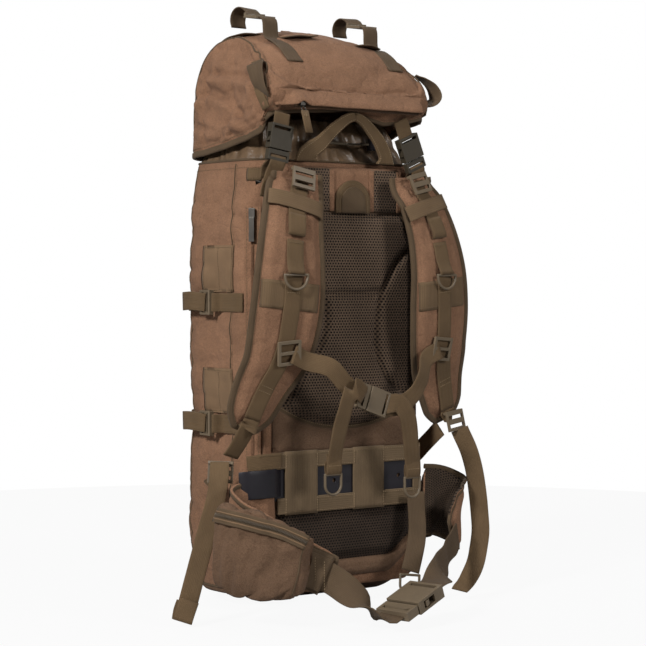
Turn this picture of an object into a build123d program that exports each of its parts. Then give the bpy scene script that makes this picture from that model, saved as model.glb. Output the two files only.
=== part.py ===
from build123d import *
import math
import os

# Large hunting backpack: bag, lid, shoulder harness, hip belt and their hardware.
# Frame: +Z up, origin at the centre of the flat bottom. The back panel and the harness face -Y.
# +X is the wearer's left. All lengths are in millimetres.

# ---------------------------------------------------------------- driving dimensions
BAG_HALF_W = 147.0            # main bag, half width at its widest
BAG_REAR = -92.0              # back wall, outside
BAG_FRONT = 103.0             # front wall, outside
BAG_TOP = 600.0               # rim of the woven bag
BAG_WALL = 4.0
BASE_T = 6.0
REAR_R = 35.0                 # corner radii in plan
FRONT_R = 68.0
COLLAR_TOP = 655.0
COLLAR_T = 2.0
LID_EDGE = 664.0              # lower edge of the lid on the back
LID_TOP = 785.0
LID_WALL = 3.0
WEB = 25.0                    # narrow webbing
HIP_WEB = 38.0                # hip belt webbing
WEB_T = 2.0
PAD_T = 16.0                  # shoulder pad thickness
WING_T = 12.0                 # hip belt wing thickness
SIDES = {"right": -1.0, "left": 1.0}


# ---------------------------------------------------------------- helpers
def save(name, *solids):
    """Write one node; several solids in a node stay separate."""
    shape = solids[0] if len(solids) == 1 else Compound(children=list(solids))
    export_step(shape, f"parts/{name}.step")


def box(x0, x1, y0, y1, z0, z1):
    """Axis-aligned block from its limits."""
    return Pos((x0 + x1) / 2, (y0 + y1) / 2, (z0 + z1) / 2) * Box(abs(x1 - x0), abs(y1 - y0), abs(z1 - z0))


def plan_section(half_w, rear, front, z, rear_r=REAR_R, front_r=FRONT_R):
    """Rounded plan outline of the bag or lid at height z."""
    outline = Rectangle(2 * half_w, front - rear)
    rear_corners = outline.vertices().group_by(Axis.Y)[0]
    outline = fillet(rear_corners, rear_r)
    front_corners = outline.vertices().group_by(Axis.Y)[-1]
    outline = fillet(front_corners, front_r)
    return Pos(0, (front + rear) / 2, z) * outline


def stack(levels, inset=0.0, rear_r=REAR_R, front_r=FRONT_R):
    """Ruled body through plan sections given as (z, half width, rear y, front y)."""
    sections = []
    for z, half_w, rear, front in levels:
        sections.append(plan_section(half_w - inset, rear + inset, front - inset, z,
                                     rear_r - inset, front_r - inset))
    return loft(sections, ruled=True)


def ribbon(points, across, widths, thick):
    """Strap or pad along points: flat section, its width kept along the across direction."""
    count = len(points)
    centres = [Vector(*p) for p in points]
    if isinstance(across, tuple):
        across = [across] * count
    if not isinstance(widths, (list, tuple)):
        widths = [widths] * count
    wires = []
    for i in range(count):
        before = centres[max(i - 1, 0)]
        after = centres[min(i + 1, count - 1)]
        tangent = (after - before).normalized()
        side = Vector(*across[i])
        normal = tangent.cross(side).normalized()
        side = normal.cross(tangent).normalized()
        w = side * (widths[i] / 2)
        t = normal * (thick / 2)
        centre = centres[i]
        corners = [centre - w - t, centre + w - t, centre + w + t, centre - w + t]
        wires.append(Wire.make_polygon(corners, close=True))
    return Solid.make_loft(wires, ruled=True)


def local(origin, along, across):
    """Plane whose local X is across, local Z is along, and local Y is the thickness."""
    z_dir = Vector(*along).normalized()
    y_dir = z_dir.cross(Vector(*across)).normalized()
    x_dir = y_dir.cross(z_dir)
    return Location(Plane(origin=origin, x_dir=tuple(x_dir), z_dir=tuple(z_dir)))


def ladder_lock(web=WEB, thick=4.0):
    """Tension buckle: plate with two webbing slots, a raised lip and a fixed bar."""
    half = web / 2 + 4
    plate = box(-half, half, -thick / 2, thick / 2, -14, 14)
    for z in (-7.0, 5.0):
        plate -= box(-web / 2 - 1, web / 2 + 1, -thick, thick, z - 2.5, z + 2.5)
    lip = box(-half, half, -thick / 2 - 3, -thick / 2, 10, 14)
    return plate + lip


def slide_frame(width, height, thick=3.5, bar=4.0):
    """Rectangular plastic ring with a middle bar."""
    frame = box(-width / 2, width / 2, -thick / 2, thick / 2, -height / 2, height / 2)
    inner = box(-width / 2 + bar, width / 2 - bar, -thick, thick, -height / 2 + bar, height / 2 - bar)
    middle = box(-width / 2, width / 2, -thick / 2, thick / 2, -bar / 2, bar / 2)
    return frame - inner + middle


def d_ring(width, drop, wire=3.5):
    """D-shaped ring hanging in -Z from its straight bar, which lies on local X."""
    r = width / 2 - wire / 2
    straight = max(drop - r - wire, 1.0)
    bar = Rot(0, 90, 0) * Cylinder(wire / 2, 2 * r)
    legs = [Pos(s * r, 0, -straight / 2) * Cylinder(wire / 2, straight) for s in (-1, 1)]
    bow = Rot(90, 0, 0) * Torus(r, wire / 2)
    bow = Pos(0, 0, -straight) * (bow & box(-width, width, -wire, wire, -width, 0))
    corners = [Pos(s * r, 0, 0) * Sphere(wire / 2) for s in (-1, 1)]
    return bar + legs[0] + legs[1] + bow + corners[0] + corners[1]


def side_release():
    """Side-release buckle for 25 mm webbing: female, male and the two arms.

    Local Z runs from the male end to the female end, X across the webbing.
    """
    female = box(-17, 17, -5.5, 5.5, 1.2, 34)
    female -= box(-14.5, 14.5, -3.3, 3.3, 0, 24)
    female -= box(-20, 20, -3.3, 3.3, 8, 22)
    female -= box(-13.5, 13.5, -8, 8, 27, 31)
    male = box(-16.5, 16.5, -4, 4, -14, 0)
    male -= box(-13.5, 13.5, -8, 8, -10, -6)
    male += box(-3, 3, -2, 2, 0, 19)
    arms = []
    for s in (-1, 1):
        shank = box(s * 8, s * 11.5, -2.4, 2.4, 0.8, 19)
        head = Polyline((s * 11.5, 9), (s * 17.5, 10.5), (s * 16.5, 15), (s * 11.5, 19.5), close=True)
        head_face = make_face(Plane.XZ * head)
        head_solid = extrude(head_face, amount=2.4, both=True)
        arms.append(shank + head_solid)
    return female, male, arms[0], arms[1]


def placed(place, shape, size=1.0):
    """Scale a local shape about its own origin, then place it."""
    return place * scale(shape, size)


# ---------------------------------------------------------------- bag and back panel (body: pack)
BAG_LEVELS = [
    (BASE_T, 134.0, -84.0, 92.0),
    (40.0, 143.0, -91.0, 100.0),
    (90.0, BAG_HALF_W, BAG_REAR, BAG_FRONT),
    (540.0, BAG_HALF_W, BAG_REAR, BAG_FRONT),
    (BAG_TOP, 138.0, -90.0, 94.0),
]
COLLAR_LEVELS = [
    (BAG_TOP, 133.0, -85.0, 89.0),
    (COLLAR_TOP, 112.0, -60.0, 66.0),
]


def make_bag():
    floor_level = (BASE_T + BAG_WALL, *BAG_LEVELS[0][1:])
    rim_level = (BAG_TOP + 1, *BAG_LEVELS[-1][1:])
    inside = [floor_level, *BAG_LEVELS[1:-1], rim_level]
    shell = stack(BAG_LEVELS) - stack(inside, inset=BAG_WALL)
    save("main_bag", shell)
    z, half_w, rear, front = BAG_LEVELS[0]
    foot = extrude(plan_section(half_w, rear, front, 0), amount=BASE_T)
    save("base_panel", foot)


def make_collar():
    outer = stack(COLLAR_LEVELS)
    inner_levels = [(BAG_TOP - 1, *COLLAR_LEVELS[0][1:]), (COLLAR_TOP + 1, *COLLAR_LEVELS[1][1:])]
    save("snow_collar", outer - stack(inner_levels, inset=COLLAR_T))


CORD_D = 3.0
CORD_ROUTE = [(-46.0, -84.0, 626.0), (6.0, -86.5, 623.0), (52.0, -86.0, 625.0)]


def make_drawcord():
    """Taut stretch of drawcord across the back of the collar, from its grommet to the cord lock."""
    a, b, c = [Vector(*p) for p in CORD_ROUTE]
    turn = (b - a).get_angle(c - b)
    radius = 0.45 * min((b - a).length, (c - b).length) / math.tan(math.radians(turn / 2))
    path = FilletPolyline(*CORD_ROUTE, radius=radius)
    start = Plane(origin=path @ 0, z_dir=path % 0)
    tube = sweep(start * Circle(CORD_D / 2), path=path)
    area = math.pi * (CORD_D / 2) ** 2
    print("drawcord radius", round(radius, 1), "volume ratio", round(tube.volume / (area * path.length), 4))
    save("collar_drawcord", tube)


def make_cord_lock():
    """Barrel cord lock with a spring button on top."""
    x, y, z = CORD_ROUTE[-1]
    x += 7.2
    body = Pos(x, y, z) * Cylinder(7, 16)
    body -= Pos(x, y, z + 5) * Cylinder(4.6, 10)
    save("cord_lock", body)
    save("cord_lock_button", Pos(x, y, z + 8.5) * Cylinder(4.2, 6))


def make_back_panel():
    sheet = box(-112, 112, -94.7, -92.2, 34, 560)
    save("frame_sheet", sheet)
    stays = [box(x - 12.5, x + 12.5, -97.7, -94.9, 40, 555) for x in (-62.0, 62.0)]
    save("frame_stays", *stays)
    edge = [(-118, 494), (-120, 380), (-114, 272), (-62, 249), (0, 242), (62, 249), (114, 272),
            (120, 380), (118, 494), (96, 534), (-96, 534)]
    pad_face = make_face(Plane.XZ * Polyline(*edge, close=True))
    save("back_pad", Pos(0, -98, 0) * extrude(pad_face, amount=12))
    lower = [(-119, 236), (-119, 62), (-100, 38), (100, 38), (119, 62), (119, 236)]
    lower_face = make_face(Plane.XZ * Polyline(*lower, close=True))
    save("lumbar_pad", Pos(0, -98, 0) * extrude(lower_face, amount=10))
    plate = box(-124, 124, -110.5, -108.5, 150, 194)
    for x in (-104.0, -86.0, -26.0, 26.0, 86.0, 104.0):
        plate -= Pos(x, -109.5, 172) * Rot(90, 0, 0) * Cylinder(3, 10)
    save("lumbar_plate", plate)
    straps = box(-122, 122, -113.5, -111.0, 192, 214) + box(-122, 122, -113.5, -111.0, 132, 154)
    for x in (-83.0, 31.0, 116.0):
        half = 27.5 if x < 100 else 6.0
        straps += box(x - half, x + half, -113.5, -111.0, 150, 196)
    save("lumbar_webbing", straps)
    yoke = box(-90, 90, -104.5, -98.2, 538, 592)
    patch_outline = Pos(0, 560) * RectangleRounded(58, 42, 20)
    patch = Pos(0, -105, 0) * extrude(Plane.XZ * patch_outline, amount=4)
    save("yoke_panel", yoke, patch)


def make_haul_handle():
    """Webbing carry loop: two flared legs meeting at a peak."""
    legs = []
    for s, foot_x, foot_w in ((-1, 72, 40), (1, 62, 32)):
        points = [(s * foot_x, -110.5, 595), (s * foot_x, -110.5, 600), (s * 58, -113, 618),
                  (s * 38, -117, 640), (s * 12, -120, 654), (0, -120.5, 656)]
        inward = [(-s, 0, 0), (-s, 0, 0), (-0.9 * s, 0, -0.5), (-0.7 * s, 0, -0.9),
                  (-0.2 * s, 0, -1), (0, 0, -1)]
        legs.append(ribbon(points, inward, [foot_w, foot_w - 2, 22, 16, 12, 12], 4.0))
    save("haul_handle", legs[0] + legs[1])


def make_front():
    """Large hollow pocket low on the front face, open along its zip line."""
    levels = [(46.0, 76.0, 106.0, 134.0), (90.0, 84.0, 106.0, 144.0), (270.0, 84.0, 106.0, 144.0),
              (332.0, 72.0, 106.0, 128.0)]
    cavity_levels = [(50.0, 76.0, 106.0, 134.0), *levels[1:3], (328.0, 74.0, 106.0, 130.0)]
    shell = stack(levels, rear_r=4, front_r=16)
    shell -= stack(cavity_levels, inset=3.0, rear_r=4, front_r=16)
    shell -= box(-58, 58, 112, 121, 320, 340)
    save("front_pocket", shell)


def make_pals():
    """Horizontal webbing rows on the front pocket and on both sides."""
    rows = [box(-68, 68, 145, 147, z, z + WEB) for z in (110, 160, 210)]
    for s in SIDES.values():
        rows.append(box(s * 150, s * 152, -48, 24, 424, 486))
        rows.append(box(s * 150, s * 152, -48, 24, 262, 322))
    save("pals_webbing", *rows)


def make_side_straps():
    straps = []
    locks = []
    for s in SIDES.values():
        for z in (410.0, 248.0):
            anchor = [(s * 150, -52, z), (s * 151, -32, z), (s * 155, -15, z)]
            straps.append(ribbon(anchor, (0, 0, 1), WEB, WEB_T))
            front = [(s * 157, 15, z), (s * 159, 28, z), (s * 157, 44, z), (s * 148, 62, z)]
            straps.append(ribbon(front, (0, 0, 1), WEB, WEB_T))
            place = local((s * 157, 0, z), (0, -1, 0), (0, 0, 1))
            lock = place * (ladder_lock() if s > 0 else Rot(0, 0, 180) * ladder_lock())
            locks.append(lock)
    save("compression_straps", *straps)
    save("compression_ladder_locks", *locks)


def make_side_zip():
    """Side-entry zip down the rear corner on the wearer's right."""
    outward = Vector(-0.75, -0.66, 0).normalized()
    across = (outward.Y, -outward.X, 0)
    corner = Vector(-(BAG_HALF_W - REAR_R), BAG_REAR + REAR_R, 0)

    def at(z, stand_off):
        point = corner + outward * (REAR_R + stand_off)
        return (point.X, point.Y, z)

    save("side_zip", ribbon([at(538, 1.4), at(110, 1.4)], across, 20, 1.6))
    slider = local(at(527, 5.0), (0, 0, 1), across) * box(-4, 4, -2.2, 2.2, -7, 7)
    pull = local(at(508, 7.0), (0, 0, 1), across) * box(-3.5, 3.5, -1.0, 1.0, -18, 14)
    save("side_zip_slider", slider + pull)


# ---------------------------------------------------------------- lid
LID_LEVELS = [
    (604.0, 140.0, -110.0, 94.0),
    (LID_EDGE, 143.0, -125.5, 94.0),
    (720.0, 142.0, -116.0, 92.0),
    (762.0, 131.0, -84.0, 78.0),
    (LID_TOP, 105.0, -40.0, 54.0),
]
LID_REAR_R = 38.0
LID_FRONT_R = 54.0


def make_lid():
    outer = stack(LID_LEVELS, rear_r=LID_REAR_R, front_r=LID_FRONT_R)
    floor_levels = [(601.0, *LID_LEVELS[0][1:]), LID_LEVELS[1]]
    skirt = stack(floor_levels, inset=LID_WALL, rear_r=LID_REAR_R, front_r=LID_FRONT_R)
    pocket_levels = [(LID_EDGE + 4, 143.0, -124.5, 94.0), LID_LEVELS[2], LID_LEVELS[3],
                     (LID_TOP - LID_WALL, 107.0, -42.0, 56.0)]
    pocket = stack(pocket_levels, inset=LID_WALL, rear_r=LID_REAR_R, front_r=LID_FRONT_R)
    shell = outer - skirt - pocket
    shell -= box(-133, 133, -160, -80, 590, LID_EDGE - 0.5)
    shell -= box(-100, 100, -140, -110, 669, 676)
    save("lid_shell", shell)
    zip_tapes = [box(-104, 104, -129.2, -127.0, low, high) for low, high in ((677, 682), (664.5, 668.5))]
    save("lid_zip", *zip_tapes)
    save("lid_zip_slider", box(-100, -92, -134.5, -129.6, 667, 679))
    place = local((-96, -141.5, 648.0), (0, 0.33, 0.95), (1, 0, 0))
    save("lid_zip_pull", place * box(-6, 6, -1.0, 1.0, -19, 16))


def make_lid_straps():
    """Webbing over the lid top with tension locks, and the side loops."""
    straps = []
    locks = []
    for s in SIDES.values():
        points = [(s * 86, -108, 752), (s * 86, -76, 776), (s * 86, -44, 788)]
        straps.append(ribbon(points, (1, 0, 0), WEB, WEB_T))
        hump = [(s * 88, -10.5, 797), (s * 88, -2, 806), (s * 88, 20, 810), (s * 88, 42, 801),
                (s * 88, 64, 788), (s * 88, 88, 764)]
        straps.append(ribbon(hump, (1, 0, 0), WEB, WEB_T))
        loop = [(s * 148, -92, 722), (s * 160, -98, 708), (s * 158, -106, 690), (s * 147.5, -104, 684)]
        straps.append(ribbon(loop, (0, 1, 0.2), WEB, WEB_T))
        locks.append(local((s * 88, -26, 793.5), (0, 1, 0.12), (1, 0, 0)) * ladder_lock())
    save("lid_top_straps", *straps)
    save("lid_top_locks", *locks)


LID_BUCKLE = {
    "right": ((-127.0, -120.5, 608.0), (0.16, 0.0, 1.0)),
    "left": ((103.0, -120.5, 604.0), (-0.42, 0.0, 1.0)),
}


def make_lid_buckles():
    """Rear lid buckles: the strap runs from the yoke through the buckle to the lid edge."""
    female, male, arm_a, arm_b = side_release()
    females = []
    males = []
    webs = []
    for name, (origin, along) in LID_BUCKLE.items():
        place = local(origin, along, (1, 0, 0))
        females.append(place * female)
        males.append(place * male)
        save(f"lid_buckle_arm_{name}_a", place * arm_a)
        save(f"lid_buckle_arm_{name}_b", place * arm_b)
        top = 50 if name == "right" else 58
        webs.append(place * ribbon([(0, 0, 34.6), (0, -1, top)], (1, 0, 0), WEB, WEB_T))
        webs.append(place * ribbon([(0, 0, -15.5), (0, 15.5, -20), (0, 16, -36)], (1, 0, 0), WEB, WEB_T))
    save("lid_buckle_females", *females)
    save("lid_buckle_males", *males)
    save("lid_rear_webbing", *webs)


# ---------------------------------------------------------------- shoulder harness
PAD_PATH = [(97, -121, 580), (98, -122, 568), (108, -131, 545), (119, -141, 505), (126, -147, 456),
            (130, -145, 400), (138, -134, 340), (153, -119, 300), (166, -110, 264), (171, -106, 248)]
PAD_WIDTHS = [76, 78, 84, 92, 102, 108, 100, 84, 68, 58]
PAD_ACROSS = (0.995, -0.09, 0.0)


def pad_point(side, z, lift, shift=0.0):
    """Point on the shoulder pad at height z, lifted off its centre plane and shifted across."""
    for low, high in zip(PAD_PATH[1:], PAD_PATH[:-1]):
        if z >= low[2] or low is PAD_PATH[-1]:
            part = (z - low[2]) / (high[2] - low[2])
            centre = Vector(*low) + (Vector(*high) - Vector(*low)) * part
            tangent = (Vector(*high) - Vector(*low)).normalized()
            break
    across = Vector(PAD_ACROSS[0], -PAD_ACROSS[1], 0)
    normal = tangent.cross(across).normalized()
    if normal.Y > 0:
        normal = normal * -1
    point = centre + normal * lift + across * shift
    return (side * point.X, point.Y, point.Z)


def pad_across(side):
    return (PAD_ACROSS[0], -side * PAD_ACROSS[1], 0.0)


def make_pads():
    faces = []
    for name, s in SIDES.items():
        points = [(s * x, y, z) for x, y, z in PAD_PATH]
        save(f"shoulder_pad_{name}", ribbon(points, pad_across(s), PAD_WIDTHS, PAD_T))
        lift = PAD_T / 2 + 2.2
        run = [pad_point(s, z, lift) for z in (578, 545, 505, 456, 400, 340, 300, 262)]
        faces.append(ribbon(run, pad_across(s), WEB, WEB_T))
        for z, height, rise in ((532.0, 20.0, 5.0), (418.0, 26.0, 2.8)):
            points = [pad_point(s, z, lift + rise, shift) for shift in (-40, 0, 40)]
            faces.append(ribbon(points, (0, 0, 1), height, 1.6))
    save("shoulder_webbing", *faces)


def make_pad_hardware():
    locks = []
    for name, s in SIDES.items():
        origin = pad_point(s, 570, PAD_T / 2 + 10.5)
        locks.append(local(origin, (-s * 0.25, 0.28, 0.93), pad_across(s)) * Rot(0, 0, 180) * ladder_lock())
        origin = pad_point(s, 348, PAD_T / 2 + 6.0, -8)
        locks.append(local(origin, (s * 0.1, -0.15, 1), pad_across(s)) * slide_frame(34, 32))
    save("pad_hardware", *locks)
    for name, s in SIDES.items():
        origin = pad_point(s, 447, PAD_T / 2 + 7.6)
        save(f"d_ring_{name}", local(origin, (0, 0, 1), pad_across(s)) * d_ring(38, 22))


STERNUM_L = (-38.0, -171.0, 292.0)
STERNUM_R = (18.0, -171.0, 272.0)


def make_sternum():
    """Chest strap: webbing from both pads to a side-release buckle, with two hanging tails."""
    female, male, arm_a, arm_b = side_release()
    along = (Vector(*STERNUM_R) - Vector(*STERNUM_L)).normalized()
    middle = Vector(*STERNUM_L) + along * 20
    buckle_across = (0.33, 0.0, 0.94)
    place = local(tuple(middle), tuple(along), buckle_across)
    save("sternum_male", place * male)
    save("sternum_female", place * female)
    save("sternum_arm_upper", place * arm_b)
    save("sternum_arm_lower", place * arm_a)
    left_run = [tuple(middle - along * 26), tuple(middle - along * 14.6)]
    right_run = [tuple(middle + along * 34.6), tuple(middle + along * 46)]
    start_r = pad_point(-1.0, 346, PAD_T / 2 + 8, -37)
    start_l = pad_point(1.0, 346, PAD_T / 2 + 8, -37)
    tilt = (0.45, 0.0, 0.9)
    tilt_l = (-0.45, 0.0, 0.9)
    straps = [
        ribbon([start_r, (-92, -165, 331), *left_run],
               [tilt, tilt, buckle_across, buckle_across], WEB, WEB_T),
        ribbon([*right_run, (76, -168, 297), start_l],
               [buckle_across, buckle_across, tilt_l, tilt_l], WEB, WEB_T),
        ribbon([(-50, -177, 300), (-60, -178, 284), (-66, -172, 245), (-69, -166, 205), (-69, -163, 190)],
               (1, 0, 0), WEB, WEB_T),
        ribbon([(26, -177, 278), (42, -177, 266), (56, -171, 232), (64, -166, 196), (66, -163, 178)],
               (1, 0, 0), WEB, WEB_T),
    ]
    save("sternum_straps", *straps)
    save("tail_ring_right", local((-69, -163, 186.5), (0, 0, 1), (1, 0, 0)) * d_ring(30, 30))
    save("tail_ring_left", local((66, -163, 174.5), (0, 0, 1), (1, 0, 0)) * d_ring(30, 30))


def make_load_straps():
    """Webbing at the pad tips: a ladder lock and free tail on the left, a plain run on the right."""
    lock = local((178, -124, 244), (-0.15, 0.12, 1), pad_across(1.0)) * Rot(0, 0, 180) * ladder_lock()
    save("strap_ladder_lock_left", lock)
    tail_points = [(181, -128, 228), (186, -142, 196), (190, -152, 140), (186, -160, 80),
                   (168, -166, 36), (140, -172, 14)]
    tail_across = [(0.8, -0.6, 0)] * 4 + [(0.85, -0.5, 0.1), (0.8, -0.5, 0.3)]
    tail = ribbon(tail_points, tail_across, WEB, WEB_T)
    right_points = [(-174, -116, 246), (-181, -106, 226), (-186, -96, 212)]
    right_run = ribbon(right_points, pad_across(-1.0), WEB, WEB_T)
    save("load_straps", tail, right_run)


def make_lower_anchors():
    """Lower attachment on the bag: corner tabs, webbing to them and the right side's lock and tail."""
    tabs = []
    for s in SIDES.values():
        outline = Polyline((-22, 150), (14, 168), (-22, 186), close=True)
        tab = extrude(make_face(Plane.YZ * outline), amount=WEB_T)
        tabs.append(Pos(s * 151 - (WEB_T if s < 0 else 0), 0, 0) * tab)
    right = ribbon([(-191, -76, 176), (-176, -52, 166), (-154.5, -24, 162)], (0, 0, 1), WEB, WEB_T)
    left = ribbon([(172, -96, 226), (165, -58, 196), (156.0, -18, 170)], (0, 0.3, 1), WEB, WEB_T)
    tail_points = [(-197, -86, 196), (-212, -98, 150), (-236, -106, 100), (-256, -108, 50), (-268, -104, 8)]
    tail = ribbon(tail_points, (0.8, -0.6, 0), WEB, WEB_T)
    save("lower_straps", *tabs, right, left, tail)
    lock = local((-190, -80, 190), (0.2, 0.2, 1), (0.8, -0.6, 0)) * ladder_lock()
    save("lower_ladder_lock", lock)


# ---------------------------------------------------------------- hip belt
WING = {
    "right": [(-128, -114, 134), (-166, -113, 131), (-196, -122, 124), (-206, -145, 112), (-194, -170, 98),
              (-168, -190, 86), (-140, -206, 76), (-114, -222, 70)],
    "left": [(128, -114, 134), (154, -112, 132), (170, -118, 124), (170, -134, 114), (156, -150, 102),
             (140, -160, 90)],
}
WING_HEIGHT = {"right": [100, 100, 100, 98, 92, 80, 62, 46], "left": [100, 100, 98, 94, 80, 60]}
POUCH = {
    "right": [(-234, -134, 109), (-232, -160, 104), (-214, -190, 97), (-187, -213, 89), (-159, -229, 82)],
    "left": [(159, -80, 130), (175, -79, 128), (194, -80, 124)],
}
POUCH_HEIGHT = {"right": [102, 106, 104, 94, 76], "left": [80, 88, 78]}
POUCH_T = 30.0
POUCH_WALL = 3.0
POUCH_SLOT = 8.0              # width of the opening along the top, where the zip runs


def make_belt():
    wings = [ribbon(WING[name], (0, 0, 1), WING_HEIGHT[name], WING_T) for name in SIDES]
    save("belt_wings", *wings)
    for name in SIDES:
        points = POUCH[name]
        heights = POUCH_HEIGHT[name]
        shell = ribbon(points, (0, 0, 1), heights, POUCH_T)
        cavity_heights = [h - 2 * POUCH_WALL for h in heights]
        shell -= ribbon(shrink(points, POUCH_WALL), (0, 0, 1), cavity_heights, POUCH_T - 2 * POUCH_WALL)
        slot_path = shrink([(x, y, z + 40) for x, y, z in points], 10.0)
        save(f"belt_pouch_{name}", shell - ribbon(slot_path, (0, 0, 1), 30, POUCH_SLOT))


def shrink(points, amount):
    """The same run of points, with both ends pulled in by amount."""
    first, second, last, before = [Vector(*points[i]) for i in (0, 1, -1, -2)]
    start = first + (second - first).normalized() * amount
    end = last + (before - last).normalized() * amount
    return [tuple(start), *points[1:-1], tuple(end)]


HIP_END_MALE = (-70.0, -285.0, 19.0)
HIP_END_FEMALE = (8.0, -271.0, 48.0)
HIP_SIZE = 1.55


def make_hip_buckle():
    female, male, arm_a, arm_b = side_release()
    start = Vector(*HIP_END_MALE)
    along = (Vector(*HIP_END_FEMALE) - start).normalized()
    origin = start + along * 14 * HIP_SIZE
    place = local(tuple(origin), tuple(along), (-0.17, 0.98, 0))
    save("hip_male", placed(place, male, HIP_SIZE))
    save("hip_female", placed(place, female, HIP_SIZE))
    save("hip_arm_front", placed(place, arm_a, HIP_SIZE))
    save("hip_arm_rear", placed(place, arm_b, HIP_SIZE))
    male_run = [tuple(origin - along * 21 * HIP_SIZE), tuple(origin - along * 14.6 * HIP_SIZE)]
    female_run = [tuple(origin + along * 34.6 * HIP_SIZE), tuple(origin + along * 46 * HIP_SIZE)]
    flat = (-0.17, 0.98, 0)
    right = ribbon([(-136, -222, 68), (-122, -236, 62), (-108, -258, 40), *male_run],
                   [(0, 0, 1), (0.1, 0.2, 0.96), (0.0, 0.6, 0.8), flat, flat], HIP_WEB, WEB_T)
    left = ribbon([*female_run, (70, -218, 66), (116, -182, 76), (148, -164, 90)],
                  [flat, flat, (-0.1, 0.5, 0.85), (0, 0, 1), (0, 0, 1)], HIP_WEB, WEB_T)
    hanger_run = [(99, -132, 148), (95, -140, 100), (80, -150, 64), (68, -158, 48)]
    hanger = ribbon(hanger_run, (0.9, -0.4, 0), WEB, WEB_T)
    save("belt_webbing", right, left, hanger)
    save("belt_ring", local((62, -163, 43), (0.2, 0.2, 1), (0.9, -0.4, 0)) * d_ring(30, 30))


# ---------------------------------------------------------------- build
def main():
    os.makedirs("parts", exist_ok=True)
    make_bag()
    make_collar()
    make_drawcord()
    make_cord_lock()
    make_back_panel()
    make_haul_handle()
    make_front()
    make_pals()
    make_side_straps()
    make_side_zip()
    make_lid()
    make_lid_straps()
    make_lid_buckles()
    make_pads()
    make_pad_hardware()
    make_sternum()
    make_load_straps()
    make_lower_anchors()
    make_belt()
    make_hip_buckle()


main()
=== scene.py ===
"""Looks of the hunting backpack: soft goods, webbing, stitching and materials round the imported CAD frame."""
import math

import bpy
import numpy as np
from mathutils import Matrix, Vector, noise
from mathutils.bvhtree import BVHTree
from mathutils.kdtree import KDTree


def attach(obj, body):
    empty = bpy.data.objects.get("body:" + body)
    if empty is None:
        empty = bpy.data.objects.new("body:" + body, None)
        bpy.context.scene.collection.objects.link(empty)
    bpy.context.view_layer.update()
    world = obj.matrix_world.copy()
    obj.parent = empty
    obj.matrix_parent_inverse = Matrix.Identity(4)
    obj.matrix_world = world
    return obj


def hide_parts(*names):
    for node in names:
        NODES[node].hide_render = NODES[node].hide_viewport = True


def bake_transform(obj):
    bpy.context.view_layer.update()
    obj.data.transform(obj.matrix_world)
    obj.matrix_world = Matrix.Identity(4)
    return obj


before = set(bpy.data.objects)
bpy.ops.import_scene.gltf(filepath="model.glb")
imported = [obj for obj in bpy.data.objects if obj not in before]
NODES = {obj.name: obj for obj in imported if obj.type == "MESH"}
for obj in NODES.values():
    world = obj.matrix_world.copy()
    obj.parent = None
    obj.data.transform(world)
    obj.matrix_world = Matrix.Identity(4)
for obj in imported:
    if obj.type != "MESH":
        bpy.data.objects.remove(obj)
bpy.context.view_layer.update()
MM = 0.001

# ---------------------------------------------------------------- camera, drawcord, lights, world
AZIMUTH = math.radians(37.68)
PITCH = math.radians(1.27)
camera_data = bpy.data.cameras.new("camera")
camera_data.lens = 108.3
camera_data.sensor_width = 36.0
camera_data.clip_end = 100.0
camera = bpy.data.objects.new("camera", camera_data)
bpy.context.scene.collection.objects.link(camera)
camera.location = (-1.625, -2.156, 0.44)
look = Vector((math.sin(AZIMUTH) * math.cos(PITCH), math.cos(AZIMUTH) * math.cos(PITCH), -math.sin(PITCH)))
camera.rotation_mode = "QUATERNION"
camera.rotation_quaternion = look.to_track_quat("-Z", "Y")
bpy.context.scene.camera = camera

CORD_D = 3.0
CORD_ROUTE = [(-46.0, -84.0, 626.0), (6.0, -86.5, 623.0), (52.0, -86.0, 625.0)]


def nurbs_line(name, points, order=3):
    """A curve of one NURBS spline through control points in mm."""
    data = bpy.data.curves.new(name, "CURVE")
    data.dimensions = "3D"
    spline = data.splines.new("NURBS")
    spline.points.add(len(points) - 1)
    for slot_point, p in zip(spline.points, points):
        slot_point.co = (p[0] * MM, p[1] * MM, p[2] * MM, 1.0)
    spline.order_u = order
    spline.use_endpoint_u = True
    spline.resolution_u = 24
    obj = bpy.data.objects.new(name, data)
    bpy.context.scene.collection.objects.link(obj)
    return obj


drawcord = nurbs_line("drawcord", CORD_ROUTE)
drawcord.data.bevel_depth = CORD_D / 2 * MM
drawcord.data.bevel_resolution = 4
drawcord.data.use_fill_caps = True


def area_light(name, location, target, size, power, colour=(1, 1, 1)):
    data = bpy.data.lights.new(name, "AREA")
    data.shape = "DISK"
    data.size = size
    data.energy = power
    data.color = colour
    obj = bpy.data.objects.new(name, data)
    bpy.context.scene.collection.objects.link(obj)
    obj.location = location
    direction = Vector(target) - Vector(location)
    obj.rotation_mode = "QUATERNION"
    obj.rotation_quaternion = direction.to_track_quat("-Z", "Y")
    return obj


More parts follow.
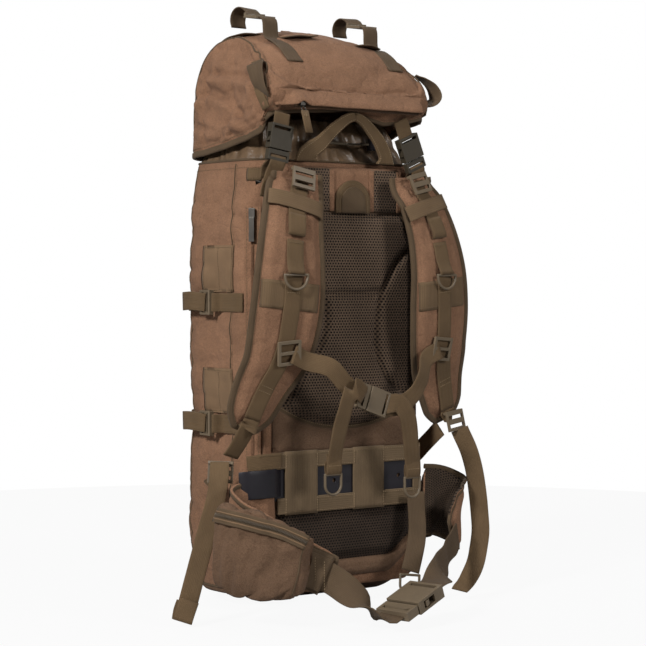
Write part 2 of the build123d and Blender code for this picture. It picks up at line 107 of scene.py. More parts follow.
area_light("key", (-3.0, -1.0, 2.0), (0, 0, 0.5), 0.6, 116)
area_light("fill", (0.9, -3.0, 1.7), (0, 0, 0.5), 0.9, 46)
area_light("top", (-0.3, 0.0, 3.0), (0, 0, 0.4), 1.2, 16)
area_light("back", (1.4, 2.4, 1.8), (0, 0, 0.4), 1.6, 26)
world = bpy.data.worlds.new("world")
world.use_nodes = True
ambient = world.node_tree.nodes["Background"]
ambient.inputs["Color"].default_value = (1.0, 1.0, 1.0, 1)
ambient.inputs["Strength"].default_value = 0.15
white = world.node_tree.nodes.new("ShaderNodeBackground")
white.inputs["Color"].default_value = (1.0, 1.0, 1.0, 1)
white.inputs["Strength"].default_value = 1.0
seen = world.node_tree.nodes.new("ShaderNodeLightPath")
either = world.node_tree.nodes.new("ShaderNodeMixShader")
world.node_tree.links.new(seen.outputs["Is Camera Ray"], either.inputs["Fac"])
world.node_tree.links.new(ambient.outputs["Background"], either.inputs[1])
world.node_tree.links.new(white.outputs["Background"], either.inputs[2])
world.node_tree.links.new(either.outputs["Shader"], world.node_tree.nodes["World Output"].inputs["Surface"])
bpy.context.scene.world = world
bpy.context.scene.view_settings.view_transform = "Standard"


# ---------------------------------------------------------------- materials
class Shader:
    """A node material built step by step; values go in as numbers or node outputs."""

    def __init__(self, name, roughness=0.8, sheen=0.0, metallic=0.0, specular=0.5):
        self.mat = bpy.data.materials.new(name)
        self.mat.use_nodes = True
        self.tree = self.mat.node_tree
        self.bsdf = self.tree.nodes["Principled BSDF"]
        self.bsdf.inputs["Roughness"].default_value = roughness
        self.bsdf.inputs["Metallic"].default_value = metallic
        self.bsdf.inputs["Specular IOR Level"].default_value = specular
        self.bsdf.inputs["Sheen Weight"].default_value = sheen
        self.bsdf.inputs["Sheen Roughness"].default_value = 0.5

    def node(self, kind, **settings):
        n = self.tree.nodes.new(kind)
        for key, value in settings.items():
            setattr(n, key, value)
        return n

    def put(self, socket, value):
        if isinstance(value, (int, float)):
            socket.default_value = value
        elif isinstance(value, tuple):
            socket.default_value = value if len(value) == len(socket.default_value) else (*value, 1.0)
        else:
            self.tree.links.new(value, socket)

    def math(self, operation, a, b=0.0, c=0.0):
        n = self.node("ShaderNodeMath", operation=operation)
        for socket, value in zip(n.inputs, (a, b, c)):
            self.put(socket, value)
        return n.outputs[0]

    def uv(self):
        n = self.node("ShaderNodeUVMap", uv_map="UVMap")
        split = self.node("ShaderNodeSeparateXYZ")
        self.put(split.inputs[0], n.outputs[0])
        return split.outputs[0], split.outputs[1]

    def place(self):
        return self.node("ShaderNodeTexCoord").outputs["Object"]

    def noise(self, vector, scale, detail=2.0, rough=0.5):
        n = self.node("ShaderNodeTexNoise")
        self.put(n.inputs["Vector"], vector)
        n.inputs["Scale"].default_value = scale
        n.inputs["Detail"].default_value = detail
        n.inputs["Roughness"].default_value = rough
        return n.outputs["Fac"]

    def remap(self, value, lo, hi, new_lo, new_hi):
        n = self.node("ShaderNodeMapRange")
        for socket, v in zip(n.inputs, (value, lo, hi, new_lo, new_hi)):
            self.put(socket, v)
        return n.outputs[0]

    def mix(self, factor, a, b, blend="MIX"):
        n = self.node("ShaderNodeMix", data_type="RGBA", blend_type=blend)
        self.put(n.inputs[0], factor)
        self.put(n.inputs[6], a)
        self.put(n.inputs[7], b)
        return n.outputs[2]

    def bump(self, height, distance, strength=1.0, normal=None):
        n = self.node("ShaderNodeBump")
        self.put(n.inputs["Height"], height)
        n.inputs["Distance"].default_value = distance
        n.inputs["Strength"].default_value = strength
        if normal is not None:
            self.put(n.inputs["Normal"], normal)
        return n.outputs[0]

    def finish(self, colour, normal=None, roughness=None):
        self.put(self.bsdf.inputs["Base Color"], colour)
        if normal is not None:
            self.put(self.bsdf.inputs["Normal"], normal)
        if roughness is not None:
            self.put(self.bsdf.inputs["Roughness"], roughness)
        return self.mat


def weave(sh, pitch):
    """Height from 0 to 1 of a plain weave on the metre UVs."""
    u, v = sh.uv()
    a = sh.math("MULTIPLY", u, math.pi / pitch)
    b = sh.math("MULTIPLY", v, math.pi / pitch)
    over = sh.math("MULTIPLY", sh.math("SINE", a), sh.math("SINE", b))
    warp = sh.math("ABSOLUTE", sh.math("COSINE", sh.math("MULTIPLY", a, 1.0)))
    weft = sh.math("ABSOLUTE", sh.math("COSINE", sh.math("MULTIPLY", b, 1.0)))
    pick = sh.math("GREATER_THAN", over, 0.0)
    one = sh.math("MULTIPLY", pick, sh.math("SUBTRACT", 1.0, weft))
    two = sh.math("MULTIPLY", sh.math("SUBTRACT", 1.0, pick), sh.math("SUBTRACT", 1.0, warp))
    return sh.math("ADD", one, two)


def cordura(name, colour, pitch=0.0011, sheen=0.03, rough=0.85, depth=0.00026):
    sh = Shader(name, rough, sheen, specular=0.12)
    where = sh.place()
    height = weave(sh, pitch)
    fleck = sh.noise(where, 900.0, 1.0)
    mottle = sh.noise(where, 26.0, 4.0, 0.6)
    cloud = sh.noise(where, 6.0, 2.0)
    shade = sh.math("ADD", sh.remap(height, 0, 1, 0.76, 1.16), sh.remap(fleck, 0.3, 0.7, -0.20, 0.20))
    shade = sh.math("MULTIPLY", shade, sh.remap(mottle, 0.3, 0.7, 0.87, 1.11))
    shade = sh.math("MULTIPLY", shade, sh.remap(cloud, 0.3, 0.7, 0.90, 1.10))
    tone = sh.node("ShaderNodeCombineColor")
    for socket, c in zip(tone.inputs, colour):
        sh.put(socket, sh.math("MULTIPLY", shade, c))
    crinkle = sh.bump(sh.noise(where, 30.0, 7.0, 0.66), 0.0085, 0.75)
    fold = sh.math("ABSOLUTE", sh.math("SUBTRACT", sh.noise(where, 9.0, 3.0, 0.45), 0.5))
    fold = sh.math("SQRT", sh.remap(fold, 0.0, 0.09, 0.0, 1.0))
    crinkle = sh.bump(fold, 0.0016, 0.8, crinkle)
    return sh.finish(tone.outputs[0], sh.bump(height, depth, 0.8, crinkle))


def webbing(name, colour, pitch=0.0021, rough=0.7):
    """Nylon webbing: fine ribs along and a herringbone break across."""
    sh = Shader(name, rough, 0.04, specular=0.15)
    u, v = sh.uv()
    where = sh.place()
    zigzag = sh.math("PINGPONG", u, pitch * 1.5)
    rib = sh.math("SINE", sh.math("MULTIPLY", sh.math("ADD", v, zigzag), 2 * math.pi / (pitch * 0.75)))
    cord = sh.math("SINE", sh.math("MULTIPLY", u, 2 * math.pi / pitch))
    height = sh.math("ADD", sh.math("MULTIPLY", rib, 0.5), sh.math("MULTIPLY", cord, 0.35))
    mottle = sh.noise(where, 40.0, 3.0)
    shade = sh.math("MULTIPLY", sh.remap(height, -0.8, 0.8, 0.80, 1.12), sh.remap(mottle, 0.3, 0.7, 0.9, 1.1))
    tone = sh.node("ShaderNodeCombineColor")
    for socket, c in zip(tone.inputs, colour):
        sh.put(socket, sh.math("MULTIPLY", shade, c))
    return sh.finish(tone.outputs[0], sh.bump(height, 0.00022, 0.9))


def spacer_mesh(name, yarn, hole_shade, pitch=0.0046):
    """Three-dimensional mesh: rows of rounded holes, every other row shifted half a pitch."""
    sh = Shader(name, 0.88, 0.03, specular=0.12)
    u, v = sh.uv()
    rise = pitch * 0.80
    row = sh.math("FLOOR", sh.math("DIVIDE", v, rise))
    shift = sh.math("MULTIPLY", sh.math("FLOORED_MODULO", row, 2.0), 0.5)
    du = sh.math("SUBTRACT", sh.math("FRACT", sh.math("ADD", sh.math("DIVIDE", u, pitch), shift)), 0.5)
    dv = sh.math("MULTIPLY", sh.math("SUBTRACT", sh.math("FRACT", sh.math("DIVIDE", v, rise)), 0.5), 0.95)
    gap = sh.math("SQRT", sh.math("ADD", sh.math("MULTIPLY", du, du), sh.math("MULTIPLY", dv, dv)))
    solid = sh.remap(gap, 0.24, 0.36, 0.0, 1.0)
    where = sh.place()
    thread = sh.noise(where, 1400.0, 1.0)
    cloud = sh.noise(where, 18.0, 2.0)
    lit = sh.mix(sh.remap(thread, 0.35, 0.65, 0.0, 1.0), tuple(0.75 * c for c in yarn), tuple(1.2 * c for c in yarn))
    # The holes are only painted: the near-black hole colour is painted shade inside each hole.
    tone = sh.mix(solid, hole_shade, lit)
    tone = sh.mix(sh.remap(cloud, 0.35, 0.65, 0.0, 0.25), tone, hole_shade)
    return sh.finish(tone, sh.bump(solid, 0.0012, 0.9))


def moulded(name, colour, rough=0.42, grain=0.00006, metallic=0.0, wear=0.25):
    """Moulded plastic or coated metal: fine grain, rubbed edges, slight smudges."""
    sh = Shader(name, rough, 0.0, metallic, 0.32)
    where = sh.place()
    fine = sh.noise(where, 1800.0, 2.0)
    smudge = sh.noise(where, 60.0, 3.0, 0.6)
    edge = sh.remap(sh.node("ShaderNodeNewGeometry").outputs["Pointiness"], 0.52, 0.62, 0.0, 1.0)
    rubbed = sh.mix(sh.math("MULTIPLY", edge, wear), colour, tuple(min(1.0, 2.2 * c + 0.02) for c in colour))
    tone = sh.mix(sh.remap(smudge, 0.35, 0.65, 0.0, 0.3), rubbed, tuple(0.7 * c for c in colour))
    return sh.finish(tone, sh.bump(fine, grain, 0.6), sh.remap(smudge, 0.3, 0.7, rough - 0.08, rough + 0.12))


CORDURA = cordura("cordura", (0.258, 0.138, 0.080))
# Cordura darkened as painted shade, for the parts low on the pack or tucked under others: bottom, lumbar band, lid zip
# tape, belt pouches.
CORDURA_PAINTED_SHADE = cordura("cordura_painted_shade", (0.150, 0.088, 0.053))
WEBBING = webbing("webbing", (0.122, 0.077, 0.039))
# Webbing darkened as painted shade, for the hip belt straps and the lid-top webbing.
WEBBING_PAINTED_SHADE = webbing("webbing_painted_shade", (0.092, 0.060, 0.034))
TAPE = webbing("side_tape", (0.188, 0.116, 0.064), 0.0026)
PAD_TAPE = webbing("pad_tape", (0.138, 0.088, 0.047), 0.0026)
BINDING = webbing("binding", (0.098, 0.064, 0.036), 0.0016)
MESH = spacer_mesh("spacer_mesh", (0.150, 0.101, 0.068), (0.010, 0.007, 0.006))
# Spacer mesh darkened as painted shade, for the lumbar pad low behind the hip belt.
MESH_PAINTED_SHADE = spacer_mesh("lumbar_mesh", (0.054, 0.036, 0.025), (0.007, 0.005, 0.004))
PLASTIC = moulded("buckle_plastic", (0.138, 0.103, 0.066), 0.36)
# Buckle plastic darkened as painted shade, for the lid buckles.
PLASTIC_PAINTED_SHADE = moulded("buckle_painted_shade", (0.040, 0.031, 0.019), 0.5, wear=0.12)
BLACK = moulded("black_plastic", (0.017, 0.015, 0.019), 0.35, wear=0.1)
ZIP_METAL = moulded("zip_metal", (0.090, 0.082, 0.072), 0.35, metallic=0.8)
ALUMINIUM = moulded("aluminium", (0.5, 0.5, 0.5), 0.35, metallic=0.9)
THREAD = moulded("thread", (0.150, 0.105, 0.058), 0.8, wear=0.0)
THREAD_LIGHT = moulded("thread_light", (0.30, 0.21, 0.12), 0.8, wear=0.0)
CORD_MAT = webbing("cord", (0.11, 0.085, 0.055), 0.0009)
COIL = moulded("zip_coil", (0.085, 0.062, 0.040), 0.5, wear=0.0)


def coated(name, colour):
    """Thin coated lining: smooth, a little shiny, finely crumpled."""
    sh = Shader(name, 0.30, 0.0, specular=0.6)
    where = sh.place()
    crumple = sh.noise(where, 70.0, 5.0, 0.65)
    # The crumple noise also sets the colour, darker in its valleys and lighter on its ridges: painted shade and painted
    # highlight.
    tone = sh.mix(sh.remap(crumple, 0.35, 0.65, 0.0, 1.0), tuple(0.75 * c for c in colour), tuple(1.25 * c for c in colour))
    return sh.finish(tone, sh.bump(crumple, 0.003, 0.7))


COATED = coated("coated_nylon", (0.135, 0.085, 0.048))


# ---------------------------------------------------------------- geometry helpers (all in mm)
def unit(v):
    v = np.asarray(v, float)
    return v / np.maximum(np.linalg.norm(v, axis=-1, keepdims=True), 1e-9)


def spline_rows(rows, step):
    """Rows of control values, the first three a point, resampled smoothly about every step mm."""
    p = np.asarray(rows, float)
    gaps = np.linalg.norm(np.diff(p[:, :3], axis=0), axis=1)
    t = np.concatenate([[0.0], np.cumsum(gaps)])
    slope = np.diff(p, axis=0) / gaps[:, None]
    m = np.empty_like(p)
    m[0], m[-1] = slope[0], slope[-1]
    w = gaps[1:] / (gaps[1:] + gaps[:-1])
    m[1:-1] = slope[:-1] * w[:, None] + slope[1:] * (1 - w)[:, None]
    out = []
    for i, gap in enumerate(gaps):
        n = max(1, int(round(gap / step)))
        x = (np.arange(n) / n)[:, None]
        h = 2 * x**3 - 3 * x**2 + 1, x**3 - 2 * x**2 + x, -2 * x**3 + 3 * x**2, x**3 - x**2
        out.append(h[0] * p[i] + h[1] * gap * m[i] + h[2] * p[i + 1] + h[3] * gap * m[i + 1])
    out.append(p[-1:])
    return np.vstack(out)


def frames_of(points, across):
    """Tangent, side and normal at each point; side stays near across."""
    tangent = unit(np.gradient(points, axis=0))
    side = np.broadcast_to(np.asarray(across, float), points.shape)
    normal = unit(np.cross(tangent, side))
    side = unit(np.cross(normal, tangent))
    return tangent, side, normal


class Soft:
    """Collects grids and small solids into one mesh with UVs in metres."""

    def __init__(self):
        self.verts, self.faces, self.uvs, self.slots = [], [], [], []
        self.count = 0

    def add(self, verts, faces, uvs, slot=0):
        base = self.count
        self.verts.append(np.asarray(verts, float))
        self.faces.extend([tuple(base + i for i in f) for f in faces])
        self.uvs.extend(uvs)
        self.slots.extend([slot] * len(faces))
        self.count += len(verts)
        return base

    def grid(self, rows, wrap=False, caps=False, slot=0, u=None, v=None, flip=False):
        """rows is (n, m, 3); wrap closes it along m; caps close both ends with a fan."""
        rows = np.asarray(rows, float)
        n, m = rows.shape[:2]
        if u is None:
            middle = rows[n // 2]
            loop = np.vstack([middle, middle[:1]]) if wrap else middle
            u = np.concatenate([[0], np.cumsum(np.linalg.norm(np.diff(loop, axis=0), axis=1))]) * MM
        if v is None:
            column = rows.mean(axis=1) if wrap and caps else rows[:, m // 2]
            v = np.concatenate([[0], np.cumsum(np.linalg.norm(np.diff(column, axis=0), axis=1))]) * MM
        faces, uvs = [], []
        last = m if wrap else m - 1
        for i in range(n - 1):
            for j in range(last):
                k = (j + 1) % m
                quad = [(i * m + j, u[j], v[i]), (i * m + k, u[j + 1], v[i]),
                        ((i + 1) * m + k, u[j + 1], v[i + 1]), ((i + 1) * m + j, u[j], v[i + 1])]
                if flip:
                    quad.reverse()
                faces.append([q[0] for q in quad])
                uvs.append([(q[1], q[2]) for q in quad])
        verts = rows.reshape(-1, 3)
        if caps:
            ends = [(0, rows[0].mean(axis=0), v[0], not flip), (n - 1, rows[-1].mean(axis=0), v[-1], flip)]
            for at, centre, level, reverse in ends:
                index = len(verts)
                verts = np.vstack([verts, centre])
                for j in range(m):
                    tri = [(at * m + j, u[j]), (at * m + (j + 1) % m, u[j + 1]), (index, (u[j] + u[j + 1]) / 2)]
                    if reverse:
                        tri.reverse()
                    faces.append([q[0] for q in tri])
                    uvs.append([(q[1], level) for q in tri])
        return self.add(verts, faces, uvs, slot)

    def build(self, name, mats, body=None, slot=None, replaces=(), smooth=True):
        data = bpy.data.meshes.new(name)
        verts = np.vstack(self.verts) * MM
        data.from_pydata([tuple(p) for p in verts], [], self.faces)
        layer = data.uv_layers.new(name="UVMap")
        flat = [c for face in self.uvs for c in face]
        layer.data.foreach_set("uv", np.asarray(flat, np.float32).ravel())
        for mat in mats:
            data.materials.append(mat)
        data.polygons.foreach_set("material_index", np.asarray(self.slots, np.int32))
        data.polygons.foreach_set("use_smooth", np.full(len(self.faces), smooth))
        data.update()
        obj = bpy.data.objects.new(name, data)
        bpy.context.scene.collection.objects.link(obj)
        if replaces:
            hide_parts(*replaces)
        if body:
            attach(obj, body)
        return obj


def flat_section(width, thick, count=6):
    """Closed outline of a flat strap: (across, height) pairs, anticlockwise."""
    r = min(thick / 2, width / 4)
    xs = np.linspace(-width / 2 + r, width / 2 - r, count + 1)
    top = [(x, thick / 2) for x in xs[::-1]]
    bottom = [(x, -thick / 2) for x in xs]
    right = [(width / 2 - 0.3 * r, -0.7 * thick / 2), (width / 2, 0.0), (width / 2 - 0.3 * r, 0.7 * thick / 2)]
    left = [(-width / 2 + 0.3 * r, 0.7 * thick / 2), (-width / 2, 0.0), (-width / 2 + 0.3 * r, -0.7 * thick / 2)]
    return np.array(bottom + right + top + left)


def sweep(soft, points, across, section, slot=0, scale=None, cup=None):
    """Sweep a closed (across, height) section; scale is a width factor per point."""
    points = np.asarray(points, float)
    _, side, normal = frames_of(points, across)
    section = np.asarray(section, float)
    a = section[:, 0][None, :, None]
    b = section[:, 1][None, :, None]
    if scale is not None:
        a = a * np.asarray(scale, float)[:, None, None]
    if cup is not None:
        half = np.abs(section[:, 0]).max()
        b = b + np.asarray(cup, float)[:, None, None] * (1 - (section[:, 0] / half) ** 2)[None, :, None]
    rows = points[:, None, :] + side[:, None, :] * a + normal[:, None, :] * b
    soft.grid(rows, wrap=True, caps=True, slot=slot)


def strap(soft, points, across, width=25.0, thick=1.9, slot=0, step=5.0, smooth=True, wave=0.0, seed=0.0):
    """Webbing through control points; across may be one vector or one per point."""
    points = np.asarray(points, float)
    across = np.broadcast_to(np.asarray(across, float), points.shape)
    rows = np.hstack([points, across])
    if smooth:
        rows = spline_rows(rows, step)
    line, side = rows[:, :3], rows[:, 3:6]
    if wave:
        _, s, n = frames_of(line, side)
        for i in range(1, len(line) - 1):
            fade = min(1.0, min(i, len(line) - 1 - i) / 4)
            line[i] += n[i] * wave * fade * noise.noise(Vector(line[i] * 0.03 + seed))
            side[i] = s[i] + n[i] * 0.25 * fade * noise.noise(Vector(line[i] * 0.02 + seed + 7))
    sweep(soft, line, side, flat_section(width, thick), slot)
    return line, side


def stitch_run(soft, line, normals, slot, pitch=3.4, length=2.3, radius=0.42):
    """Short raised stitches along a line lying on a surface."""
    line = np.asarray(line, float)
    normals = np.broadcast_to(np.asarray(normals, float), line.shape)
    gaps = np.linalg.norm(np.diff(line, axis=0), axis=1)
    t = np.concatenate([[0.0], np.cumsum(gaps)])
    if t[-1] < pitch:
        return
    marks = np.arange(pitch / 2, t[-1], pitch)
    at = np.stack([np.interp(marks, t, line[:, k]) for k in range(3)], axis=1)
    up = unit(np.stack([np.interp(marks, t, normals[:, k]) for k in range(3)], axis=1))
    ahead = np.stack([np.interp(np.minimum(marks + 0.5, t[-1]), t, line[:, k]) for k in range(3)], axis=1)
    behind = np.stack([np.interp(np.maximum(marks - 0.5, 0), t, line[:, k]) for k in range(3)], axis=1)
    along = unit(ahead - behind)
    side = unit(np.cross(along, up))
    faces = []
    for ring in range(2):
        for k in range(5):
            j = (k + 1) % 5
            faces.append([ring * 5 + k, ring * 5 + j, ring * 5 + 5 + j, ring * 5 + 5 + k])
    for k in range(5):
        faces.append([15, (k + 1) % 5, k])
        faces.append([16, 10 + k, 10 + (k + 1) % 5])
    angles = np.arange(5) * 2 * math.pi / 5
    for p, n, a, s in zip(at, up, along, side):
        verts = []
        for offset, r, rise in ((-0.36, 0.75, 0.1), (0.0, 1.0, 0.35), (0.36, 0.75, 0.1)):
            centre = p + a * offset * length + n * rise * radius
            for angle in angles:
                verts.append(centre + (s * math.cos(angle) + n * math.sin(angle)) * r * radius)
        verts.append(p - a * length / 2 - n * 0.2 * radius)
        verts.append(p + a * length / 2 - n * 0.2 * radius)
        soft.add(verts, faces, [[(0.0, 0.0)] * len(f) for f in faces], slot)


class Surface:
    """Nearest and ray lookups on a finished mesh, in mm."""

    def __init__(self, obj):
        bpy.context.view_layer.update()
        mesh = obj.data
        co = [v.co / MM for v in mesh.vertices]
        self.tree = BVHTree.FromPolygons(co, [tuple(p.vertices) for p in mesh.polygons])

    def ray(self, points, direction, lift=0.0, start=80.0):
        """Drop points onto the surface along direction; returns points and surface normals."""
        d = Vector(unit(direction))
        out, normals = [], []
        for p in points:
            hit, normal, _, _ = self.tree.ray_cast(Vector(p) - d * start, d)
            if hit is None:
                hit, normal, _, _ = self.tree.find_nearest(Vector(p))
            if normal.dot(d) > 0:
                normal = -normal
            out.append(hit + normal * lift)
            normals.append(normal)
        return np.array(out), np.array(normals)

    def near(self, points, lift=0.0, outward=None):
        out, normals = [], []
        for p in points:
            hit, normal, _, _ = self.tree.find_nearest(Vector(p))
            if outward is not None and normal.dot(Vector(outward)) < 0:
                normal = -normal
            out.append(hit + normal * lift)
            normals.append(normal)
        return np.array(out), np.array(normals)


def fnoise(points, scale, seed):
    """Signed noise at each point; scale is per axis, in 1/mm."""
    q = np.asarray(points, float) * np.asarray(scale, float) + seed
    return np.array([noise.noise(Vector(p)) for p in q.reshape(-1, 3)]).reshape(q.shape[:-1])


def ridges(points, scale, seed, power=3.0):
    return (1 - np.abs(fnoise(points, scale, seed))) ** power


def piping(soft, line, radius, slot=0, sides=8, step=None):
    """Round bead along a line."""
    line = np.asarray(line, float)
    if step:
        line = spline_rows(line, step)
    tangent = unit(np.gradient(line, axis=0))
    ref = np.array([0.13, 0.21, 0.97]) if abs(tangent[:, 2]).mean() < 0.8 else np.array([0.97, 0.21, 0.13])
    angle = np.arange(sides) * 2 * math.pi / sides
    section = np.stack([np.cos(angle), np.sin(angle)], axis=1) * radius
    sweep(soft, line, ref, section, slot)


def held(obj, points, reach):
    """Vertices of obj within reach of any of the points, all in mm, for holding in the simulation."""
    tree = KDTree(len(points))
    for k, p in enumerate(points):
        tree.insert(Vector(p), k)
    tree.balance()
    return [v.index for v in obj.data.vertices if tree.find(v.co / MM)[2] < reach]


def inflate(obj, pins, pressure=3.0, frames=18, cap=8.0, swell=0.0, stiffness=8.0, bending=0.5, gravity=0.0):
    """Cloth simulation under a little air pressure, with the seams held. cap is the furthest move in mm."""
    group = obj.vertex_groups.new(name="held")
    group.add(pins, 1.0, "REPLACE")
    rest = np.array([v.co for v in obj.data.vertices])
    modifier = obj.modifiers.new("cloth", "CLOTH")
    settings = modifier.settings
    settings.quality = 5
    settings.mass = 0.15
    settings.tension_stiffness = stiffness
    settings.compression_stiffness = stiffness
    settings.shear_stiffness = stiffness
    settings.bending_stiffness = bending
    settings.tension_damping = 5
    settings.compression_damping = 5
    settings.shear_damping = 5
    settings.air_damping = 2
    settings.vertex_group_mass = "held"
    settings.pin_stiffness = 1.0
    settings.shrink_min = -swell
    settings.use_pressure = True
    settings.uniform_pressure_force = pressure
    settings.effector_weights.gravity = gravity
    scene = bpy.context.scene
    for f in range(1, frames + 1):
        scene.frame_set(f)
    graph = bpy.context.evaluated_depsgraph_get()
    moved = obj.evaluated_get(graph)
    new = np.array([v.co for v in moved.data.vertices])
    obj.modifiers.remove(modifier)
    obj.vertex_groups.clear()
    shift = new - rest
    size = np.linalg.norm(shift, axis=1, keepdims=True)
    shift *= np.minimum(1.0, cap * MM / np.maximum(size, 1e-9))
    obj.data.vertices.foreach_set("co", (rest + shift).astype(np.float32).ravel())
    obj.data.update()
    scene.frame_set(1)


def solidify(obj, thick, offset=-1.0):
    modifier = obj.modifiers.new("shell", "SOLIDIFY")
    modifier.thickness = thick * MM
    modifier.offset = offset
    modifier.use_quality_normals = True
    return modifier


def loop_of(corners, radii, count, arc=14):
    """Closed plan outline with rounded corners, evenly spaced, starting half way along its first edge."""
    corners = [np.asarray(c, float) for c in corners]
    out = []
    n = len(corners)
    for i in range(n):
        here, before, after = corners[i], corners[i - 1], corners[(i + 1) % n]
        a, b = unit(before - here), unit(after - here)
        half = math.acos(np.clip(a @ b, -1, 1)) / 2
        reach = radii[i] / math.tan(half)
        start, end = here + a * reach, here + b * reach
        centre = here + unit(a + b) * radii[i] / math.sin(half)
        u, w = start - centre, end - centre
        sweep_angle = math.atan2(u[0] * w[1] - u[1] * w[0], u @ w)
        for k in range(arc + 1):
            t = sweep_angle * k / arc
            c, s = math.cos(t), math.sin(t)
            out.append(centre + np.array([c * u[0] - s * u[1], s * u[0] + c * u[1]]))
    out = np.array(out)
    middle = (corners[0] + corners[-1]) / 2
    out = np.vstack([middle, out, middle])
    t = np.concatenate([[0], np.cumsum(np.linalg.norm(np.diff(out, axis=0), axis=1))])
    marks = np.arange(count) / count * t[-1]
    return np.stack([np.interp(marks, t, out[:, k]) for k in range(2)], axis=1)


def plan_loop(half_w, rear, front, rear_r, front_r, count):
    """Starts at the middle of the back and runs towards +X first."""
    corners = [(half_w, rear), (half_w, front), (-half_w, front), (-half_w, rear)]
    return loop_of(corners, [rear_r, front_r, front_r, rear_r], count)


def normals_2d(loop):
    t = unit(np.roll(loop, -1, axis=0) - np.roll(loop, 1, axis=0))
    return np.stack([t[:, 1], -t[:, 0]], axis=1)


def levels_at(levels, z):
    table = np.array(levels)
    return [np.interp(z, table[:, 0], table[:, k]) for k in range(1, table.shape[1])]


def patch(soft, surface, origin, du, dv, direction, thick=1.6, lift=0.0, slot=0, step=5.0, corners=None):
    """Flat piece of fabric lying on a surface: a closed slab over origin + s*du + t*dv."""
    origin, du, dv = (np.asarray(x, float) for x in (origin, du, dv))
    nu = max(2, int(np.linalg.norm(du) / step) + 1)
    nv = max(2, int(np.linalg.norm(dv) / step) + 1)
    s = np.linspace(0, 1, nu)
    t = np.linspace(0, 1, nv)
    flat = (origin + s[None, :, None] * du + t[:, None, None] * dv).reshape(-1, 3)
    hit, normal = surface.ray(flat, direction)
    hit, normal = hit.reshape(nv, nu, 3), normal.reshape(nv, nu, 3)
    top = hit + normal * (lift + thick)
    base = hit + normal * (lift - 0.3)
    rim = (base + top) / 2
    wide = np.linalg.norm(du) * MM
    long = np.linalg.norm(dv) * MM
    inner = s.copy()
    rows = np.concatenate([rim[:, :1] , top[:, 1:-1] if nu > 2 else top, rim[:, -1:], base[:, -2:0:-1] if nu > 2 else base], axis=1)
    u_top = s * wide
    u = np.concatenate([u_top, wide * 2 - u_top[-2:0:-1] if nu > 2 else [], [2 * wide]])
    if nu <= 2:
        rows = np.concatenate([top, base[:, ::-1]], axis=1)
        u = np.array([0, wide, wide, 2 * wide, 2 * wide])
    rows[0] = (rows[0] + rows[0].mean(axis=0) * 0) 
    v = t * long
    soft.grid(rows, wrap=True, caps=True, slot=slot, u=u, v=v)
    return top, normal


def rect_line(a, b, c, d, step=3.0):
    """Closed rectangle line through four corners, divided every step mm."""
    out = []
    loop = [np.asarray(p, float) for p in (a, b, c, d, a)]
    for p, q in zip(loop[:-1], loop[1:]):
        n = max(1, int(np.linalg.norm(q - p) / step))
        out.extend(p + (q - p) * k / n for k in range(n))
    out.append(loop[-1])
    return np.array(out)


def line_of(a, b, step=4.0):
    a, b = np.asarray(a, float), np.asarray(b, float)
    n = max(2, int(np.linalg.norm(b - a) / step) + 1)
    return a + (b - a) * np.linspace(0, 1, n)[:, None]


# ---------------------------------------------------------------- main bag
BAG_HALF_W, BAG_REAR, BAG_FRONT, BAG_TOP, BASE_T = 147.0, -92.0, 103.0, 600.0, 6.0
REAR_R, FRONT_R = 35.0, 68.0
BAG_LEVELS = [(BASE_T, 134.0, -84.0, 92.0), (40.0, 143.0, -91.0, 100.0), (90.0, BAG_HALF_W, BAG_REAR, BAG_FRONT),
              (540.0, BAG_HALF_W, BAG_REAR, BAG_FRONT), (BAG_TOP, 138.0, -90.0, 94.0)]
BAG_COLUMNS = 240


def bag_rows():
    rows = []
    for z in np.linspace(BASE_T + 0.5, BAG_TOP - 1, 116):
        half_w, rear, front = levels_at(BAG_LEVELS, z)
        loop = plan_loop(half_w - 1, rear + 1, front - 1, REAR_R, FRONT_R, BAG_COLUMNS)
        normal = normals_2d(loop)
        p = np.column_stack([loop, np.full(len(loop), z)])
        n = np.column_stack([normal, np.zeros(len(loop))])
        back = np.clip((-normal[:, 1] - 0.55) / 0.3, 0, 1)
        free = 1 - back
        waist = 0.0
        for level, depth in ((410.0, 3.4), (248.0, 3.4)):
            waist += depth * math.exp(-((z - level) / 26.0) ** 2)
        side = np.abs(normal[:, 0]) ** 2
        hem = min(1.0, (BAG_TOP - z) / 40.0) * min(1.0, (z - BASE_T) / 30.0)
        puff = 2.2 + 1.4 * np.sin(z * 0.021) * side
        folds = 4.2 * ridges(p, (0.010, 0.010, 0.022), 3.7, 6) + 1.8 * ridges(p, (0.03, 0.03, 0.05), 11.0, 4)
        soft_noise = 2.2 * fnoise(p, (0.012, 0.012, 0.014), 5.0) + 0.7 * fnoise(p, (0.05, 0.05, 0.04), 9.0)
        low = math.exp(-((z - 60) / 50.0) ** 2)
        folds = folds + 2.0 * low * ridges(p, (0.035, 0.035, 0.012), 21.0, 4)
        shift = (puff - waist * side - folds * 0.75 + soft_noise) * hem * free
        rows.append(p + n * shift[:, None])
    return np.array(rows)


bag = Soft()
bag.grid(bag_rows(), wrap=True)
bag_obj = bag.build("bag_body", [CORDURA], slot="cordura", replaces=["main_bag"])
bag_skin = Surface(bag_obj)
solidify(bag_obj, 2.4)
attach(bag_obj, "pack")

